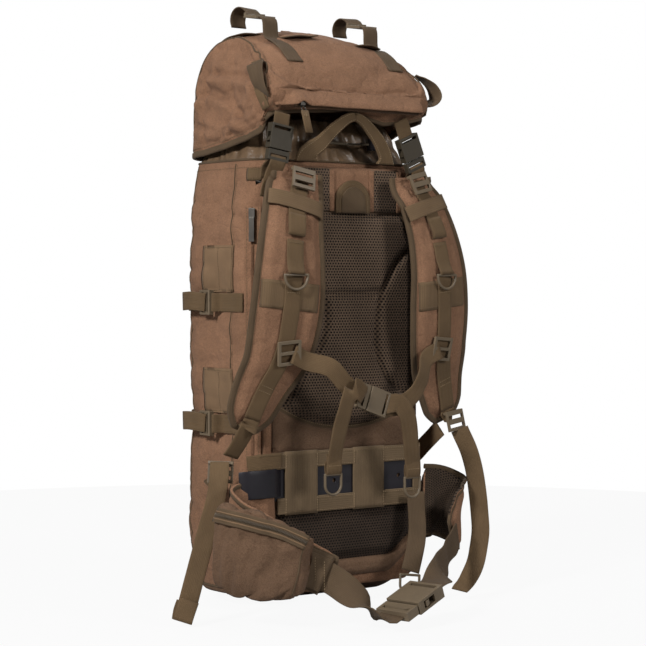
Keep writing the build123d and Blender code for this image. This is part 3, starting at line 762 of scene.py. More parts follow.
base = Soft()
levels = [(0.2, 7.0), (1.0, 3.0), (3.5, 0.6), (6.2, -0.6), (9.0, -0.8)]
loops = []
for z, inset in [(0.2, 60.0), (0.0, 30.0)] + levels:
    loop = plan_loop(134 - inset, -84 + inset, 92 - inset, max(8, REAR_R - inset / 2), max(10, FRONT_R - inset / 2), 160)
    loops.append(np.column_stack([loop, np.full(160, max(z, 0.05))]))
top_loop = plan_loop(130, -80, 88, 33, 66, 160)
loops.append(np.column_stack([top_loop, np.full(160, 9.0)]))
base.grid(np.array(loops), wrap=True, caps=True)
base_line = np.column_stack([plan_loop(134.6, -84.6, 92.6, REAR_R, FRONT_R, 160), np.full(160, 9.5)])
piping(base, np.vstack([base_line, base_line[:1]]), 1.9, slot=1)
base.build("bottom_panel", [CORDURA_PAINTED_SHADE, BINDING], "pack", "cordura", ["base_panel"])

# Vertical seams, top hem and their stitches.
trim = Soft()


def bag_line(points, direction, lift=0.6):
    return bag_skin.ray(points, direction, lift)


for sx, sy in ((-1, -42.0), (1, -42.0), (-1, 62.0), (1, 62.0)):
    at_seam = [(sx * 150, sy, z) for z in np.arange(14, 597, 5)]
    line, normal = bag_line(at_seam, (-sx, 0, 0) if abs(sy) < 50 else (-sx, -0.5, 0), 0.2)
    piping(trim, line, 1.0, slot=1, sides=6)
    offset = np.array([0, 4.0 if sy > 0 else -4.0, 0])
    near, near_n = bag_skin.near(line + offset, 0.25)
    stitch_run(trim, near, near_n, 2)
hem_line = []
for index in range(BAG_COLUMNS):
    loop = plan_loop(138, -90, 94, REAR_R, FRONT_R, BAG_COLUMNS)
    hem_line.append((*loop[index], BAG_TOP - 12))
line, normal = bag_skin.near(hem_line, 0.3)
stitch_run(trim, line, normal, 2)
line, normal = bag_skin.near([(x, y, BAG_TOP - 1) for x, y, _ in hem_line], 0.0)
piping(trim, np.vstack([line, line[:1]]), 1.6, slot=1)
# Short box-stitched webbing by the seam, under the rim.
patch(trim, bag_skin, (-150, -66, 571), (0, -24, 0), (0, 0, 16), (1, 0, 0), 1.6, 0.1, slot=3, step=4)
for z0 in (573, 585):
    run, nn = bag_skin.ray(line_of((-150, -68, z0), (-150, -88, z0)), (1, 0, 0), 1.9)
    stitch_run(trim, run, nn, 2)
trim.build("bag_seams", [CORDURA, BINDING, THREAD, WEBBING], "pack", "cordura")

# Cover over the frame sheet and stays.
cover = Soft()


def slab(soft, x0, x1, low, high, y_back, crown, step=3.5, slot=0, slot_back=0, min_front=0.4):
    """Closed slab facing -Y: bottom low(x), top high(x), thickness crown(x, z, d) with d from the outline."""
    nx = int((x1 - x0) / step) + 2
    xs = np.linspace(x0, x1, nx)
    z_low = np.array([low(x) for x in xs])
    z_high = np.array([high(x) for x in xs])
    m = int(np.max(z_high - z_low) / step) + 2
    t = np.linspace(0, 1, m)
    z = z_low[:, None] + (z_high - z_low)[:, None] * t[None, :]
    x = np.repeat(xs[:, None], m, axis=1)
    slope_low = np.gradient(z_low, xs)
    slope_high = np.gradient(z_high, xs)
    d = np.minimum((z - z_low[:, None]) / np.sqrt(1 + slope_low**2)[:, None],
                   (z_high[:, None] - z) / np.sqrt(1 + slope_high**2)[:, None])
    d = np.maximum(np.minimum(d, np.minimum(x - x0, x1 - x)), 0)
    front = np.stack([x, y_back - crown(x, z, d), z], axis=2)
    back = np.stack([x, np.full_like(x, y_back), z], axis=2)
    rows = np.concatenate([front, back[:, ::-1]], axis=1)
    flat = np.stack([rows[:, :, 0], rows[:, :, 2]], axis=2) * MM
    slots = np.zeros((nx - 1, 2 * m), int) + slot
    slots[:, m - 1:] = slot_back
    soft.grid_planar(rows, flat, slots, caps_slot=slot_back)
    return front


def grid_planar(self, rows, flat, slots, caps_slot=0):
    """Wrapped grid whose UVs come from a plane; both ends are capped."""
    n, m = rows.shape[:2]
    verts = rows.reshape(-1, 3)
    uv = flat.reshape(-1, 2)
    faces, uvs, which = [], [], []
    for i in range(n - 1):
        for j in range(m):
            k = (j + 1) % m
            quad = [i * m + j, (i + 1) * m + j, (i + 1) * m + k, i * m + k]
            faces.append(quad)
            uvs.append([tuple(uv[q]) for q in quad])
            which.append(int(slots[i, j]))
    for at, reverse in ((0, False), (n - 1, True)):
        centre = rows[at].mean(axis=0)
        index = len(verts)
        verts = np.vstack([verts, centre])
        for j in range(m):
            tri = [at * m + j, at * m + (j + 1) % m, index]
            if reverse:
                tri.reverse()
            faces.append(tri)
            uvs.append([tuple(uv[q]) if q < len(uv) else (0.0, 0.0) for q in tri])
            which.append(caps_slot)
    base_index = self.count
    self.verts.append(verts)
    self.faces.extend([tuple(base_index + i for i in f) for f in faces])
    self.uvs.extend(uvs)
    self.slots.extend(which)
    self.count += len(verts)


Soft.grid_planar = grid_planar


def ramp(x, a, b):
    """Smooth step from 0 at a to 1 at b."""
    t = np.clip((np.asarray(x, float) - a) / (b - a), 0, 1)
    return t * t * (3 - 2 * t)


def seam_distance(x, z, lines):
    """Distance in the XZ plane to the nearest of several polylines."""
    best = np.full(np.shape(x), 1e9)
    for line in lines:
        for (x0, z0), (x1, z1) in zip(line[:-1], line[1:]):
            dx, dz = x1 - x0, z1 - z0
            t = np.clip(((x - x0) * dx + (z - z0) * dz) / (dx * dx + dz * dz), 0, 1)
            best = np.minimum(best, np.hypot(x - x0 - t * dx, z - z0 - t * dz))
    return best


def smooth_xz(points, step=5.0):
    rows = spline_rows([(x, 0.0, z) for x, z in points], step)
    return [(p[0], p[2]) for p in rows]


def cover_crown(x, z, d):
    p = np.stack([x, np.zeros_like(x), z], axis=2)
    wrinkle = 0.9 * fnoise(p, (0.02, 1, 0.05), 31.0) + 0.9 * ridges(p, (0.018, 1, 0.04), 8.0, 4)
    return 3.0 + 4.1 * ramp(d, 0, 10) + np.clip(wrinkle, -0.6, 1.2) * ramp(d, 6, 16) * ramp(np.abs(z - 230), 40, 5) * 1.6


slab(cover, -131, 131, lambda x: 26 + 14 * max(0.0, abs(x) - 110) / 21, lambda x: 592.0, -91.4, cover_crown, 4.0)
cover.build("back_cover", [CORDURA], "pack", "cordura")

# ---------------------------------------------------------------- back pad, lumbar pad, yoke
PAD_SEAMS = [
    smooth_xz([(-38, 419), (-12, 422), (16, 421), (60, 425)]),
    smooth_xz([(60, 425), (72, 444), (90, 468), (119, 490)]),
    smooth_xz([(60, 425), (53, 400), (50, 350), (62, 316), (92, 290), (118, 276)]),
    smooth_xz([(-38, 419), (-37, 377), (-47, 350), (-74, 316), (-100, 284), (-119, 266)]),
    smooth_xz([(-38, 419), (-60, 446), (-90, 470), (-119, 490)]),
]
BACK_PAD_Y = -98.3


def pad_low(x):
    return 240 + 34 * (abs(x) / 119.0) ** 2.2


def pad_high(x):
    return 534 - 40 * max(0.0, (abs(x) - 96) / 23.0)


def back_crown(x, z, d):
    seam = seam_distance(x, z, PAD_SEAMS)
    body = 3.0 + 8.6 * ramp(d, 5, 17)
    channel = 1 - 0.62 * np.exp(-(seam / 4.5) ** 2) - 0.13 * np.exp(-(seam / 14.0) ** 2)
    p = np.stack([x, np.zeros_like(x), z], axis=2)
    return np.clip(body * channel + 0.5 * fnoise(p, (0.03, 1, 0.03), 2.0) * ramp(d, 8, 20), 1.2, 12.6)


back = Soft()
front_grid = slab(back, -119.5, 119.5, pad_low, pad_high, BACK_PAD_Y, back_crown, 2.6)
back_obj = back.build("back_pad_mesh", [MESH], "pack", "spacer_mesh", ["back_pad"])
pad_skin = Surface(back_obj)
edge = Soft()
rim = [(x, BACK_PAD_Y - 2.0, pad_low(x)) for x in np.linspace(-119, 119, 60)]
rim_line = np.array(rim)
sweep(edge, rim_line, (0, 0.0, 1), flat_section(11, 5.0))
top_rim = np.array([(x, BACK_PAD_Y - 1.6, pad_high(x)) for x in np.linspace(-119, 119, 60)])
sweep(edge, top_rim, (0, 0, 1), flat_section(8, 4.4))
for s in (-1, 1):
    side_rim = np.array([(s * 119.5, BACK_PAD_Y - 2.0, z) for z in np.linspace(pad_low(119), pad_high(119), 50)])
    sweep(edge, side_rim, (1, 0, 0), flat_section(9, 4.6))
for inset in (-3.6, 3.4):
    stitch_run(edge, rim_line + np.array([0, -2.6, inset]), (0, -1, 0), 1)
edge.build("back_pad_binding", [BINDING, THREAD_LIGHT], "pack", "webbing")

LUMBAR_Y = -98.3


def lumbar_low(x):
    return 40 + 26 * ramp(abs(x), 70, 119)


def lumbar_crown(x, z, d):
    p = np.stack([x, np.zeros_like(x), z], axis=2)
    return 2.4 + 7.4 * ramp(d, 2, 16) + 0.4 * fnoise(p, (0.03, 1, 0.03), 12.0) * ramp(d, 8, 20)


lumbar = Soft()
slab(lumbar, -119, 119, lambda x: lumbar_low(x) + 22, lambda x: 150.0, LUMBAR_Y, lumbar_crown, 3.0)
lumbar_obj = lumbar.build("lumbar_mesh", [MESH_PAINTED_SHADE], "pack", "spacer_mesh", ["lumbar_pad"])
lumbar_trim = Soft()


def band_crown(x, z, d):
    p = np.stack([x, np.zeros_like(x), z], axis=2)
    return 2.2 + 4.6 * ramp(d, 0, 7) + 0.8 * fnoise(p, (0.03, 1, 0.06), 14.0) * ramp(d, 3, 9)


slab(lumbar_trim, -119, 119, lumbar_low, lambda x: lumbar_low(x) + 24, LUMBAR_Y, band_crown, 4.0)
slab(lumbar_trim, -121, 121, lambda x: 208.0, lambda x: pad_low(x) + 3, LUMBAR_Y, band_crown, 4.0)
slab(lumbar_trim, -121, 121, lambda x: 134.0, lambda x: 212.0, LUMBAR_Y, lambda x, z, d: 8.6 * ramp(d + 4, 0, 5), 5.0)
lumbar_trim.build("lumbar_fabric", [CORDURA_PAINTED_SHADE], "pack", "cordura")

grid = Soft()


def flat_tape(soft, centre, along, across, width, length, thick=1.8, slot=0, normal=(0, -1, 0), stitch=None, inset=2.6,
              thread=1, sag=0.0, step=6.0):
    """Straight piece of webbing centred at a point, with optional rows of stitches along both edges."""
    centre, along, across, normal = (np.asarray(v, float) for v in (centre, unit(along), unit(across), unit(normal)))
    n = max(3, int(length / step) + 1)
    t = np.linspace(-length / 2, length / 2, n)
    line = centre + along * t[:, None] - normal * (sag * (2 * t / length) ** 2)[:, None]
    sweep(soft, line, across, flat_section(width, thick))
    face = line + normal * (thick / 2 + 0.15)
    for edge_side in (-1, 1) if stitch else ():
        stitch_run(soft, face + across * edge_side * (width / 2 - inset), normal, thread)
    return line


for z in (203.0, 143.0):
    flat_tape(grid, (0, -112.2, z), (1, 0, 0), (0, 0, 1), 22, 244, 2.2, stitch=True)
for x, width in ((-83.0, 54.0), (31.0, 54.0)):
    flat_tape(grid, (x, -112.6, 173), (0, 0, 1), (1, 0, 0), width, 84, 2.6)
    for dx in (-width / 2 + 1.5, width / 2 - 1.5):
        for z0, z1 in ((194, 212), (133, 152)):
            stitch_run(grid, line_of((x + dx, -114.2, z0), (x + dx, -114.2, z1)), (0, -1, 0), 1)
flat_tape(grid, (116, -112.4, 173), (0, 0, 1), (1, 0, 0), 13, 84, 2.4)
grid.build("lumbar_grid", [webbing("lumbar_webbing", (0.140, 0.095, 0.054), 0.0028), THREAD_LIGHT], "pack", "webbing",
           ["lumbar_webbing"])

yoke = Soft()
slab(yoke, -92, 92, lambda x: 533.0, lambda x: 591.0, -98.4, lambda x, z, d: 1.8 + 4.2 * ramp(d, 0, 8), 4.0)
for x0, x1 in ((-90.0, -26.0), (42.0, 90.0)):
    slab(yoke, x0, x1, lambda x: 532.0, lambda x: 589.0, -103.2, lambda x, z, d: 1.0 + 1.6 * ramp(d, 0, 6), 3.5, slot=1, slot_back=1)
    for xe in (x0, x1):
        flat_tape(yoke, (xe, -105.2, 560), (0, 0, 1), (1, 0, 0), 8, 56, 1.6, slot=0)
yoke.slots = [s for s in yoke.slots]
yoke_obj = yoke.build("yoke", [CORDURA, MESH], "pack", "cordura")
tomb = Soft()


def tomb_half(z):
    top = 574.0
    return 30.0 * math.sqrt(max(0.0, 1 - max(0.0, (z - (top - 30)) / 30.0) ** 2))


def tombstone(soft, cx, grow, y, thick, slot):
    zs = np.concatenate([np.linspace(530, 545, 4), 545 + (29 + grow) * np.sin(np.linspace(0.1, math.pi / 2 - 0.02, 12))])
    rows = []
    for z in zs:
        half = (30 + grow) * math.sqrt(max(0.004, 1 - max(0.0, (z - 544.0) / (30.0 + grow)) ** 2))
        section = flat_section(2 * half, thick, 8)
        rows.append([(cx + a, y - b, z) for a, b in section])
    soft.grid(np.array(rows), wrap=True, caps=True, slot=slot, flip=True)


tombstone(tomb, 8, 0.0, -107.0, 3.4, 0)
tombstone(tomb, 8, -9.0, -108.6, 2.6, 1)
arch = [(8 + 24 * math.cos(a), -109.0, 544 + 24 * math.sin(a)) for a in np.linspace(0, math.pi, 30)]
stitch_run(tomb, [(32, -109.0, 530), *arch, (-16, -109.0, 530)], (0, -1, 0), 2)
tomb.build("yoke_patch", [WEBBING, BINDING, THREAD], "pack", "webbing", ["yoke_panel"])


# ---------------------------------------------------------------- snow collar, drawcord
def collar_rows():
    rows = []
    for z in np.linspace(592.0, 656.0, 34):
        share = np.clip((z - 600) / 55.0, 0, 1)
        half_w = 133 + (112 - 133) * share
        rear = -85 + 25 * share
        front = 89 - 23 * share
        loop = plan_loop(half_w, rear, front, 34 - 4 * share, 60 - 14 * share, 300)
        normal = normals_2d(loop)
        t = np.arange(300) / 300.0
        wob = fnoise(np.stack([t * 40, np.full(300, z * 0.012), np.zeros(300)], axis=1), (1, 1, 1), 3.0)
        fold = np.sin(2 * math.pi * 30 * t + 4.6 * wob + 0.05 * (z - 600)) * (0.9 + 3.0 * share)
        tie = 2.6 * math.exp(-((z - 625) / 6.0) ** 2)
        big = 5.0 * fnoise(np.stack([t * 14, np.full(300, z * 0.03), np.zeros(300)], axis=1), (1, 1, 1), 8.0)
        shift = fold - tie + big * share - 0.5
        rows.append(np.column_stack([loop + normal * shift[:, None], np.full(300, z)]))
    return np.array(rows)


collar = Soft()
collar.grid(collar_rows(), wrap=True)
collar_obj = collar.build("collar", [COATED], slot="coated_nylon", replaces=["snow_collar"])
collar_skin = Surface(collar_obj)
solidify(collar_obj, 1.2)
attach(collar_obj, "pack")
drawcord.data.materials.append(CORD_MAT)
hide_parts("collar_drawcord")
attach(drawcord, "pack")

# ---------------------------------------------------------------- lid
LID_EDGE, LID_TOP = 664.0, 785.0
LID_PROFILE = [(604.0, 139.0, -110.0, 94.0, 24.0, 52.0), (632.0, 140.5, -118.0, 94.5, 25.0, 54.0),
               (664.0, 141.0, -125.0, 95.0, 26.0, 55.0), (695.0, 139.5, -124.5, 94.0, 30.0, 56.0),
               (722.0, 136.0, -116.0, 90.0, 36.0, 56.0), (748.0, 130.0, -98.0, 82.0, 42.0, 54.0),
               (768.0, 119.0, -74.0, 68.0, 46.0, 50.0), (780.0, 101.0, -48.0, 50.0, 40.0, 42.0),
               (785.5, 78.0, -26.0, 32.0, 26.0, 26.0), (788.0, 46.0, -8.0, 16.0, 11.0, 11.0),
               (789.0, 16.0, 0.0, 8.0, 3.5, 3.5)]
LID_COLUMNS = 260
HEM_REAR = ([-143, -134, -125, -94, -19, -8, 24, 58, 100, 125, 143],
            [634, 643, 657, 660.5, 665, 667, 658, 650, 655, 661, 662])
HEM_RIGHT = ([-112, -67, -21, 31, 94], [636, 625, 616, 609, 606])
HEM_LEFT = ([-112, -67, 0, 94], [662, 652, 626, 607])


def lid_rows():
    profile = spline_rows(LID_PROFILE, 3.4)
    rows = []
    for z, half_w, rear, front, rear_r, front_r in profile:
        rear_r, front_r = (max(1.5, min(r, half_w - 1, (front - rear) / 2 - 0.5)) for r in (rear_r, front_r))
        loop = plan_loop(half_w, rear + 1.0, front - 1.0, rear_r, front_r, LID_COLUMNS)
        rows.append(np.column_stack([loop, np.full(LID_COLUMNS, z)]))
    rows = np.array(rows)
    # The hem climbs at the back, and dips where the left buckle pulls it.
    rim = rows[0]
    beside = np.interp(rim[:, 1], *HEM_RIGHT)
    other = np.interp(rim[:, 1], *HEM_LEFT)
    share = ramp(rim[:, 0], -100, 100)
    hem = beside * (1 - share) + other * share
    behind = ramp(rim[:, 1], -94, -104)
    hem = hem * (1 - behind) + np.interp(rim[:, 0], *HEM_REAR) * behind
    top_z = LID_EDGE + 30.0
    low = rows[:, :, 2] < top_z
    squeezed = top_z - (top_z - rows[:, :, 2]) * (top_z - hem)[None, :] / (top_z - 604.0)
    rows[:, :, 2] = np.where(low, squeezed, rows[:, :, 2])
    # The crown droops towards both ends.
    part = np.clip(np.abs(rows[:, :, 0]) / 118.0, 0, 1.2)
    droop = np.where(rows[:, :, 0] < 0, 10.0 * part ** 2.4, 15.0 * part ** 1.7)
    rows[:, :, 2] -= droop * ramp(rows[:, :, 2], 690, 785)
    return rows


lid_grid = lid_rows()
tangent_u = unit(np.roll(lid_grid, -1, axis=1) - np.roll(lid_grid, 1, axis=1))
tangent_v = unit(np.gradient(lid_grid, axis=0))
lid_normal = unit(np.cross(tangent_u, tangent_v))
x, y, z = lid_grid[:, :, 0], lid_grid[:, :, 1], lid_grid[:, :, 2]
height = ramp(z, 668, 700)
end_panel = ramp(np.abs(x), 112, 136)
hang = 5.5 * ridges(lid_grid, (0.010, 0.022, 0.007), 4.0, 6) * (0.12 + end_panel)
crease = 3.2 * ridges(lid_grid, (0.016, 0.018, 0.026), 15.0, 7) * (0.30 + 0.7 * end_panel)
lump = 3.4 * fnoise(lid_grid, (0.009, 0.010, 0.012), 6.0) + 0.9 * fnoise(lid_grid, (0.03, 0.03, 0.035), 12.0)
line_low = 2.2 * np.exp(-((z - 688) / 4.0) ** 2) * (y < -60) * ramp(np.abs(x), 132, 110)
loose = ramp(z, 612, 640)
lid_grid = lid_grid + lid_normal * ((lump - crease) * height - hang * loose - line_low * 0.7)[:, :, None]
lid = Soft()
lid.grid(lid_grid, wrap=True)
crown_ring = lid_grid[-1]
crown_centre = crown_ring.mean(axis=0) + np.array([0, 0, 0.4])
lid.add(np.vstack([crown_ring, crown_centre]), [(j, (j + 1) % LID_COLUMNS, LID_COLUMNS) for j in range(LID_COLUMNS)],
        [[(0.0, 0.0)] * 3] * LID_COLUMNS)
lid_obj = lid.build("lid_fabric", [CORDURA], slot="cordura", replaces=["lid_shell"])


def weld(obj, distance=0.05):
    import bmesh
    bm = bmesh.new()
    bm.from_mesh(obj.data)
    bmesh.ops.remove_doubles(bm, verts=bm.verts, dist=distance * MM)
    bm.to_mesh(obj.data)
    bm.free()


weld(lid_obj)
lid_rest = Surface(lid_obj)
END_SEAM = [(139, -113, 664), (139, -111, 690), (138, -107, 704), (136, -100, 720), (132, -76, 745), (122, -34, 766),
            (116, 4, 776), (118, 38, 768), (126, 62, 745), (132, 74, 712), (134, 78, 660), (134, 79, 616)]
end_lines = []
for s in (-1, 1):
    line = spline_rows([(s * x, y, z) for x, y, z in END_SEAM], 3.0)
    end_lines.append(lid_rest.near(line, 0.2))
back_row = [(x, -170, 688.0) for x in np.linspace(-118, 122, 100)]
row_line = lid_rest.ray(back_row, (0, 1, 0), 0.3)
hem_grid = lid_grid[:4].reshape(-1, 3)
inflate(lid_obj, held(lid_obj, np.vstack([end_lines[0][0], end_lines[1][0], row_line[0], hem_grid]), 2.6),
        pressure=1.0, frames=16, cap=7.0, swell=0.035, bending=0.35, gravity=0.35)
# Standing folds of the two end panels, as lines in the YZ plane: a valley with a soft roll under it.
LID_FOLDS = [([(70, 728), (17, 719), (-30, 714), (-74, 705), (-94, 668), (-108, 646)], 6.5, 5.5),
             ([(70, 690), (26, 697), (-21, 680), (-67, 644)], 5.0, 6.0),
             ([(60, 652), (2, 641), (-50, 660)], 4.0, 6.0), ([(-40, 752), (-62, 728), (-98, 716)], 3.0, 5.0),
             ([(64, 760), (40, 742), (22, 719)], 3.5, 5.0)]
at = np.array([v.co for v in lid_obj.data.vertices]) / MM
facing = np.array([v.normal for v in lid_obj.data.vertices])
roll = np.zeros(len(at))
for path, depth, wide in LID_FOLDS:
    roll += depth * np.exp(-(seam_distance(at[:, 1], at[:, 2], [path]) / wide) ** 2)
    roll -= 0.7 * depth * np.exp(-(seam_distance(at[:, 1], at[:, 2] + 2.0 * wide, [path]) / (1.3 * wide)) ** 2)
roll *= ramp(np.abs(at[:, 0]), 116, 134) * ramp(at[:, 2], 612, 640) * ramp(at[:, 1], 76, 52)
lid_obj.data.vertices.foreach_set("co", ((at - facing * roll[:, None]) * MM).astype(np.float32).ravel())
lid_obj.data.update()
lid_skin = Surface(lid_obj)
solidify(lid_obj, 2.0)
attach(lid_obj, "lid")

# ---------------------------------------------------------------- shoulder pads
PAD_PATH = [(97, -121, 580), (98, -122, 568), (108, -131, 545), (119, -141, 505), (126, -147, 456), (130, -145, 400),
            (138, -134, 340), (153, -119, 300), (166, -110, 264), (171, -106, 248)]
PAD_WIDTHS = [76, 78, 84, 92, 102, 108, 100, 84, 68, 58]
PAD_T = 16.0
SIDES = {"right": -1.0, "left": 1.0}


def pad_across(s):
    return np.array([0.995, s * 0.09, 0.0])


class Pad:
    """Centre line, frames and widths of one shoulder pad."""

    def __init__(self, s):
        self.s = s
        rows = spline_rows([(s * x, y, z, w) for (x, y, z), w in zip(PAD_PATH, PAD_WIDTHS)], 4.0)
        self.line, self.width = rows[:, :3], rows[:, 3]
        _, side, normal = frames_of(self.line, pad_across(s))
        flip = np.sign(-normal[:, 1])[:, None]
        self.normal = normal * flip
        self.side = side
        self.z = self.line[:, 2]

    def at(self, z, lift=0.0, shift=0.0):
        order = np.argsort(self.z)
        pick = [np.interp(z, self.z[order], col[order]) for col in
                np.hstack([self.line, self.normal, self.side]).T]
        return np.array(pick[:3]) + unit(pick[3:6]) * lift + unit(pick[6:9]) * shift

    def normal_at(self, z):
        order = np.argsort(self.z)
        return unit([np.interp(z, self.z[order], col[order]) for col in self.normal.T])


def pad_half(d, s_len):
    """Half thickness of a pad, d mm in from its edge."""
    return 1.9 + (PAD_T / 2 - 1.9) * ramp(d, 7.0, 20.0)


pads = {}
for name, s in SIDES.items():
    pad = Pad(s)
    pads[name] = pad
    body = Soft()
    rows = []
    count = 26
    u = np.linspace(-1, 1, count + 1)
    total = len(pad.line)
    for i in range(total):
        w = pad.width[i] / 2
        from_end = min(i, total - 1 - i) * 4.0
        tail = total - 1 - i
        round_off = 1.0 if tail * 4.0 > 22 else 1 - 0.34 * (1 - tail * 4.0 / 22) ** 2
        w = w * round_off
        a = u * w
        d = np.minimum(w - np.abs(a), from_end + 2.0)
        half = pad_half(np.maximum(d, 0), 0)
        p = pad.line[i] + pad.side[i] * a[:, None]
        n = pad.normal[i]
        bumps = 0.9 * fnoise(p, (0.03, 0.03, 0.022), 3.0 + s) + 1.1 * ridges(p, (0.02, 0.02, 0.035), 5 + s, 5)
        bumps = bumps * ramp(d, 8, 20)
        front = p + n * (half - 0.6 * bumps)[:, None]
        rear = p - n * (half * 0.96)[:, None]
        rows.append(np.vstack([front, rear[::-1]]))
    rows = np.array(rows)
    slots = np.zeros((total - 1, 2 * (count + 1)), int)
    slots[:, count + 1:] = 1
    width_axis = np.concatenate([u, u[::-1]]) * 50.0
    flat = np.zeros((total, 2 * (count + 1), 2))
    flat[:, :, 0] = width_axis[None, :] * MM
    flat[:, :, 1] = np.arange(total)[:, None] * 4.0 * MM
    body.grid_planar(rows, flat, slots)
    pad_obj = body.build(f"shoulder_pad_{name}_fabric", [CORDURA, MESH], "harness", "cordura", [f"shoulder_pad_{name}"])
    pad.skin = Surface(pad_obj)
    bind = Soft()
    reach = []
    for i in range(total):
        tail = total - 1 - i
        round_off = 1.0 if tail * 4.0 > 22 else 1 - 0.34 * (1 - tail * 4.0 / 22) ** 2
        reach.append(pad.width[i] / 2 * round_off - 3.0)
    reach = np.array(reach)
    left_edge = pad.line - pad.side * reach[:, None]
    right_edge = pad.line + pad.side * reach[:, None]
    tip = np.array([left_edge[-1] + (right_edge[-1] - left_edge[-1]) * k / 8 for k in range(1, 8)])
    outline = np.vstack([left_edge, tip, right_edge[::-1]])
    across = []
    for k, p in enumerate(outline):
        i = min(total - 1, k if k < total else (total - 1 if k < total + 7 else total - 1 - (k - total - 7)))
        across.append(pad.normal[i])
    sweep(bind, outline, np.array(across), flat_section(5.4, 9.0, 4)[:, :])
    outward = []
    stitch_a = np.vstack([pad.line - pad.side * (reach - 3.2)[:, None] + pad.normal * 2.5])
    stitch_b = np.vstack([pad.line + pad.side * (reach - 3.2)[:, None] + pad.normal * 2.5])
    stitch_run(bind, stitch_a, pad.normal, 1)
    stitch_run(bind, stitch_b, pad.normal, 1)
    bind.build(f"shoulder_pad_{name}_binding", [BINDING, THREAD], "harness", "webbing")

# ---------------------------------------------------------------- webbing on the pads
web = Soft()


def pad_run(pad, zs, lift, shift=0.0):
    shifts = np.broadcast_to(np.asarray(shift, float), (len(zs),))
    return np.array([pad.at(z, lift, sh) for z, sh in zip(zs, shifts)])


for name, s in SIDES.items():
    pad = pads[name]
    across = pad_across(s)
    # wide tape sewn across the pad behind the D-ring
    origin = pad.at(402, PAD_T / 2, -44)
    du = pad.at(402, PAD_T / 2, 44) - origin
    dv = pad.at(439, PAD_T / 2, -44) - origin
    top, _ = patch(web, pad.skin, origin, du, dv, (0, 1, 0), 1.2, 0.0, slot=3, step=4.0)
    for row in (top[1], top[-2]):
        stitch_run(web, row, (0, -1, 0), 2)
    # long strap down the middle, in two runs that meet under the square ring
    zs = [447, 432, 412, 392, 372, 352, 330, 305, 280, 262]
    strap(web, pad_run(pad, zs, PAD_T / 2 + 2.0), across, 25, 1.8)
    upper = pad_run(pad, [572, 560, 545, 530, 512, 498, 494], [0][0] + PAD_T / 2 + 3.2)
    lifts = [3.4, 3.2, 2.4, 1.8, 3.0, 4.5, 3.0]
    upper = np.array([pad.at(z, PAD_T / 2 + l) for z, l in zip([574, 562, 546, 530, 512, 499, 495], lifts)])
    strap(web, upper, across, 25, 1.8)
    tongue = np.array([pad.at(z, PAD_T / 2 + l) for z, l in zip([495, 499, 510, 522], [4.6, 6.2, 5.4, 4.4])])
    strap(web, tongue, across, 25, 1.8)
    # short patch above the D-ring and the loop that holds it
    loop = np.array([pad.at(z, PAD_T / 2 + l) for z, l in zip([490, 476, 462, 452, 447.5, 449], [1.6, 1.8, 3.0, 6.6, 9.6, 5.8])])
    strap(web, loop, across, 25, 1.8)
    for z in (486, 462):
        stitch_run(web, np.array([pad.at(z, PAD_T / 2 + 3.4, a) for a in np.linspace(-10, 10, 8)]), (0, -1, 0), 2)
    # keeper
    keeper = [pad.at(537, PAD_T / 2 + l, a) for a, l in ((-41, -3.0), (-34, 0.6), (-16, 3.9), (0, 4.6), (16, 3.9), (34, 0.6), (41, -3.0))]
    strap(web, keeper, unit(pad.at(547, 8) - pad.at(527, 8)), 21, 1.5, slot=3)
    # box stitches on the lower run
    for z in (424, 305, 298):
        stitch_run(web, np.array([pad.at(z, PAD_T / 2 + 3.1, a) for a in np.linspace(-10, 10, 8)]), (0, -1, 0), 1)
web.build("pad_webbing", [WEBBING, THREAD_LIGHT, THREAD, PAD_TAPE], "harness", "webbing", ["shoulder_webbing"])

# ---------------------------------------------------------------- chest strap
STERNUM_L, STERNUM_R = np.array([-38.0, -171.0, 292.0]), np.array([18.0, -171.0, 272.0])
along = unit(STERNUM_R - STERNUM_L)
middle = STERNUM_L + along * 20
BUCKLE_ACROSS = np.array([0.33, 0.0, 0.94])
chest = Soft()
start_r = pads["right"].at(346, PAD_T / 2 + 8, -37 * -1 * -1)
start_r = np.array(pads["right"].at(346, PAD_T / 2 + 6, 34))
start_l = np.array(pads["left"].at(346, PAD_T / 2 + 6, -34))
tilt, tilt_l = (0.45, 0.0, 0.9), (-0.45, 0.0, 0.9)
strap(chest, [pads["right"].at(350, PAD_T / 2 + 7.5, 12), start_r, (-74, -166, 325), (-56, -170, 306), middle - along * 16, middle - along * 9],
      [tilt, tilt, (0.42, 0, 0.9), BUCKLE_ACROSS, BUCKLE_ACROSS, BUCKLE_ACROSS], 25, 1.8, wave=1.5, seed=1)
strap(chest, [middle + along * 31, middle + along * 40, (60, -170, 284), (82, -165, 306), start_l, pads["left"].at(350, PAD_T / 2 + 7.5, -12)],
      [BUCKLE_ACROSS, BUCKLE_ACROSS, (-0.1, 0, 1), tilt_l, tilt_l, tilt_l], 25, 1.8, wave=1.5, seed=2)
tail_r = [middle - along * 7 + np.array([0, -3.5, 0]), (-44, -179, 300), (-55, -181, 291), (-63, -178, 266), (-67, -172, 236), (-69, -166, 206), (-69, -163.6, 190)]
strap(chest, tail_r, [BUCKLE_ACROSS, (0.6, 0, 0.8), (0.93, 0, 0.35), (1, 0, 0.1), (1, 0, 0), (1, 0, 0), (1, 0, 0)], 25, 1.8, wave=1.2, seed=3)
tail_l = [middle + along * 30 + np.array([0, -3.5, 0]), (30, -178, 276), (42, -178, 264), (52, -174, 242), (59, -169, 214), (64, -165, 192), (66, -163.6, 178)]
strap(chest, tail_l, [BUCKLE_ACROSS, (0.7, 0, 0.7), (0.95, 0, 0.3), (1, 0, 0), (1, 0, 0), (1, 0, 0), (1, 0, 0)], 25, 1.8, wave=1.2, seed=4)
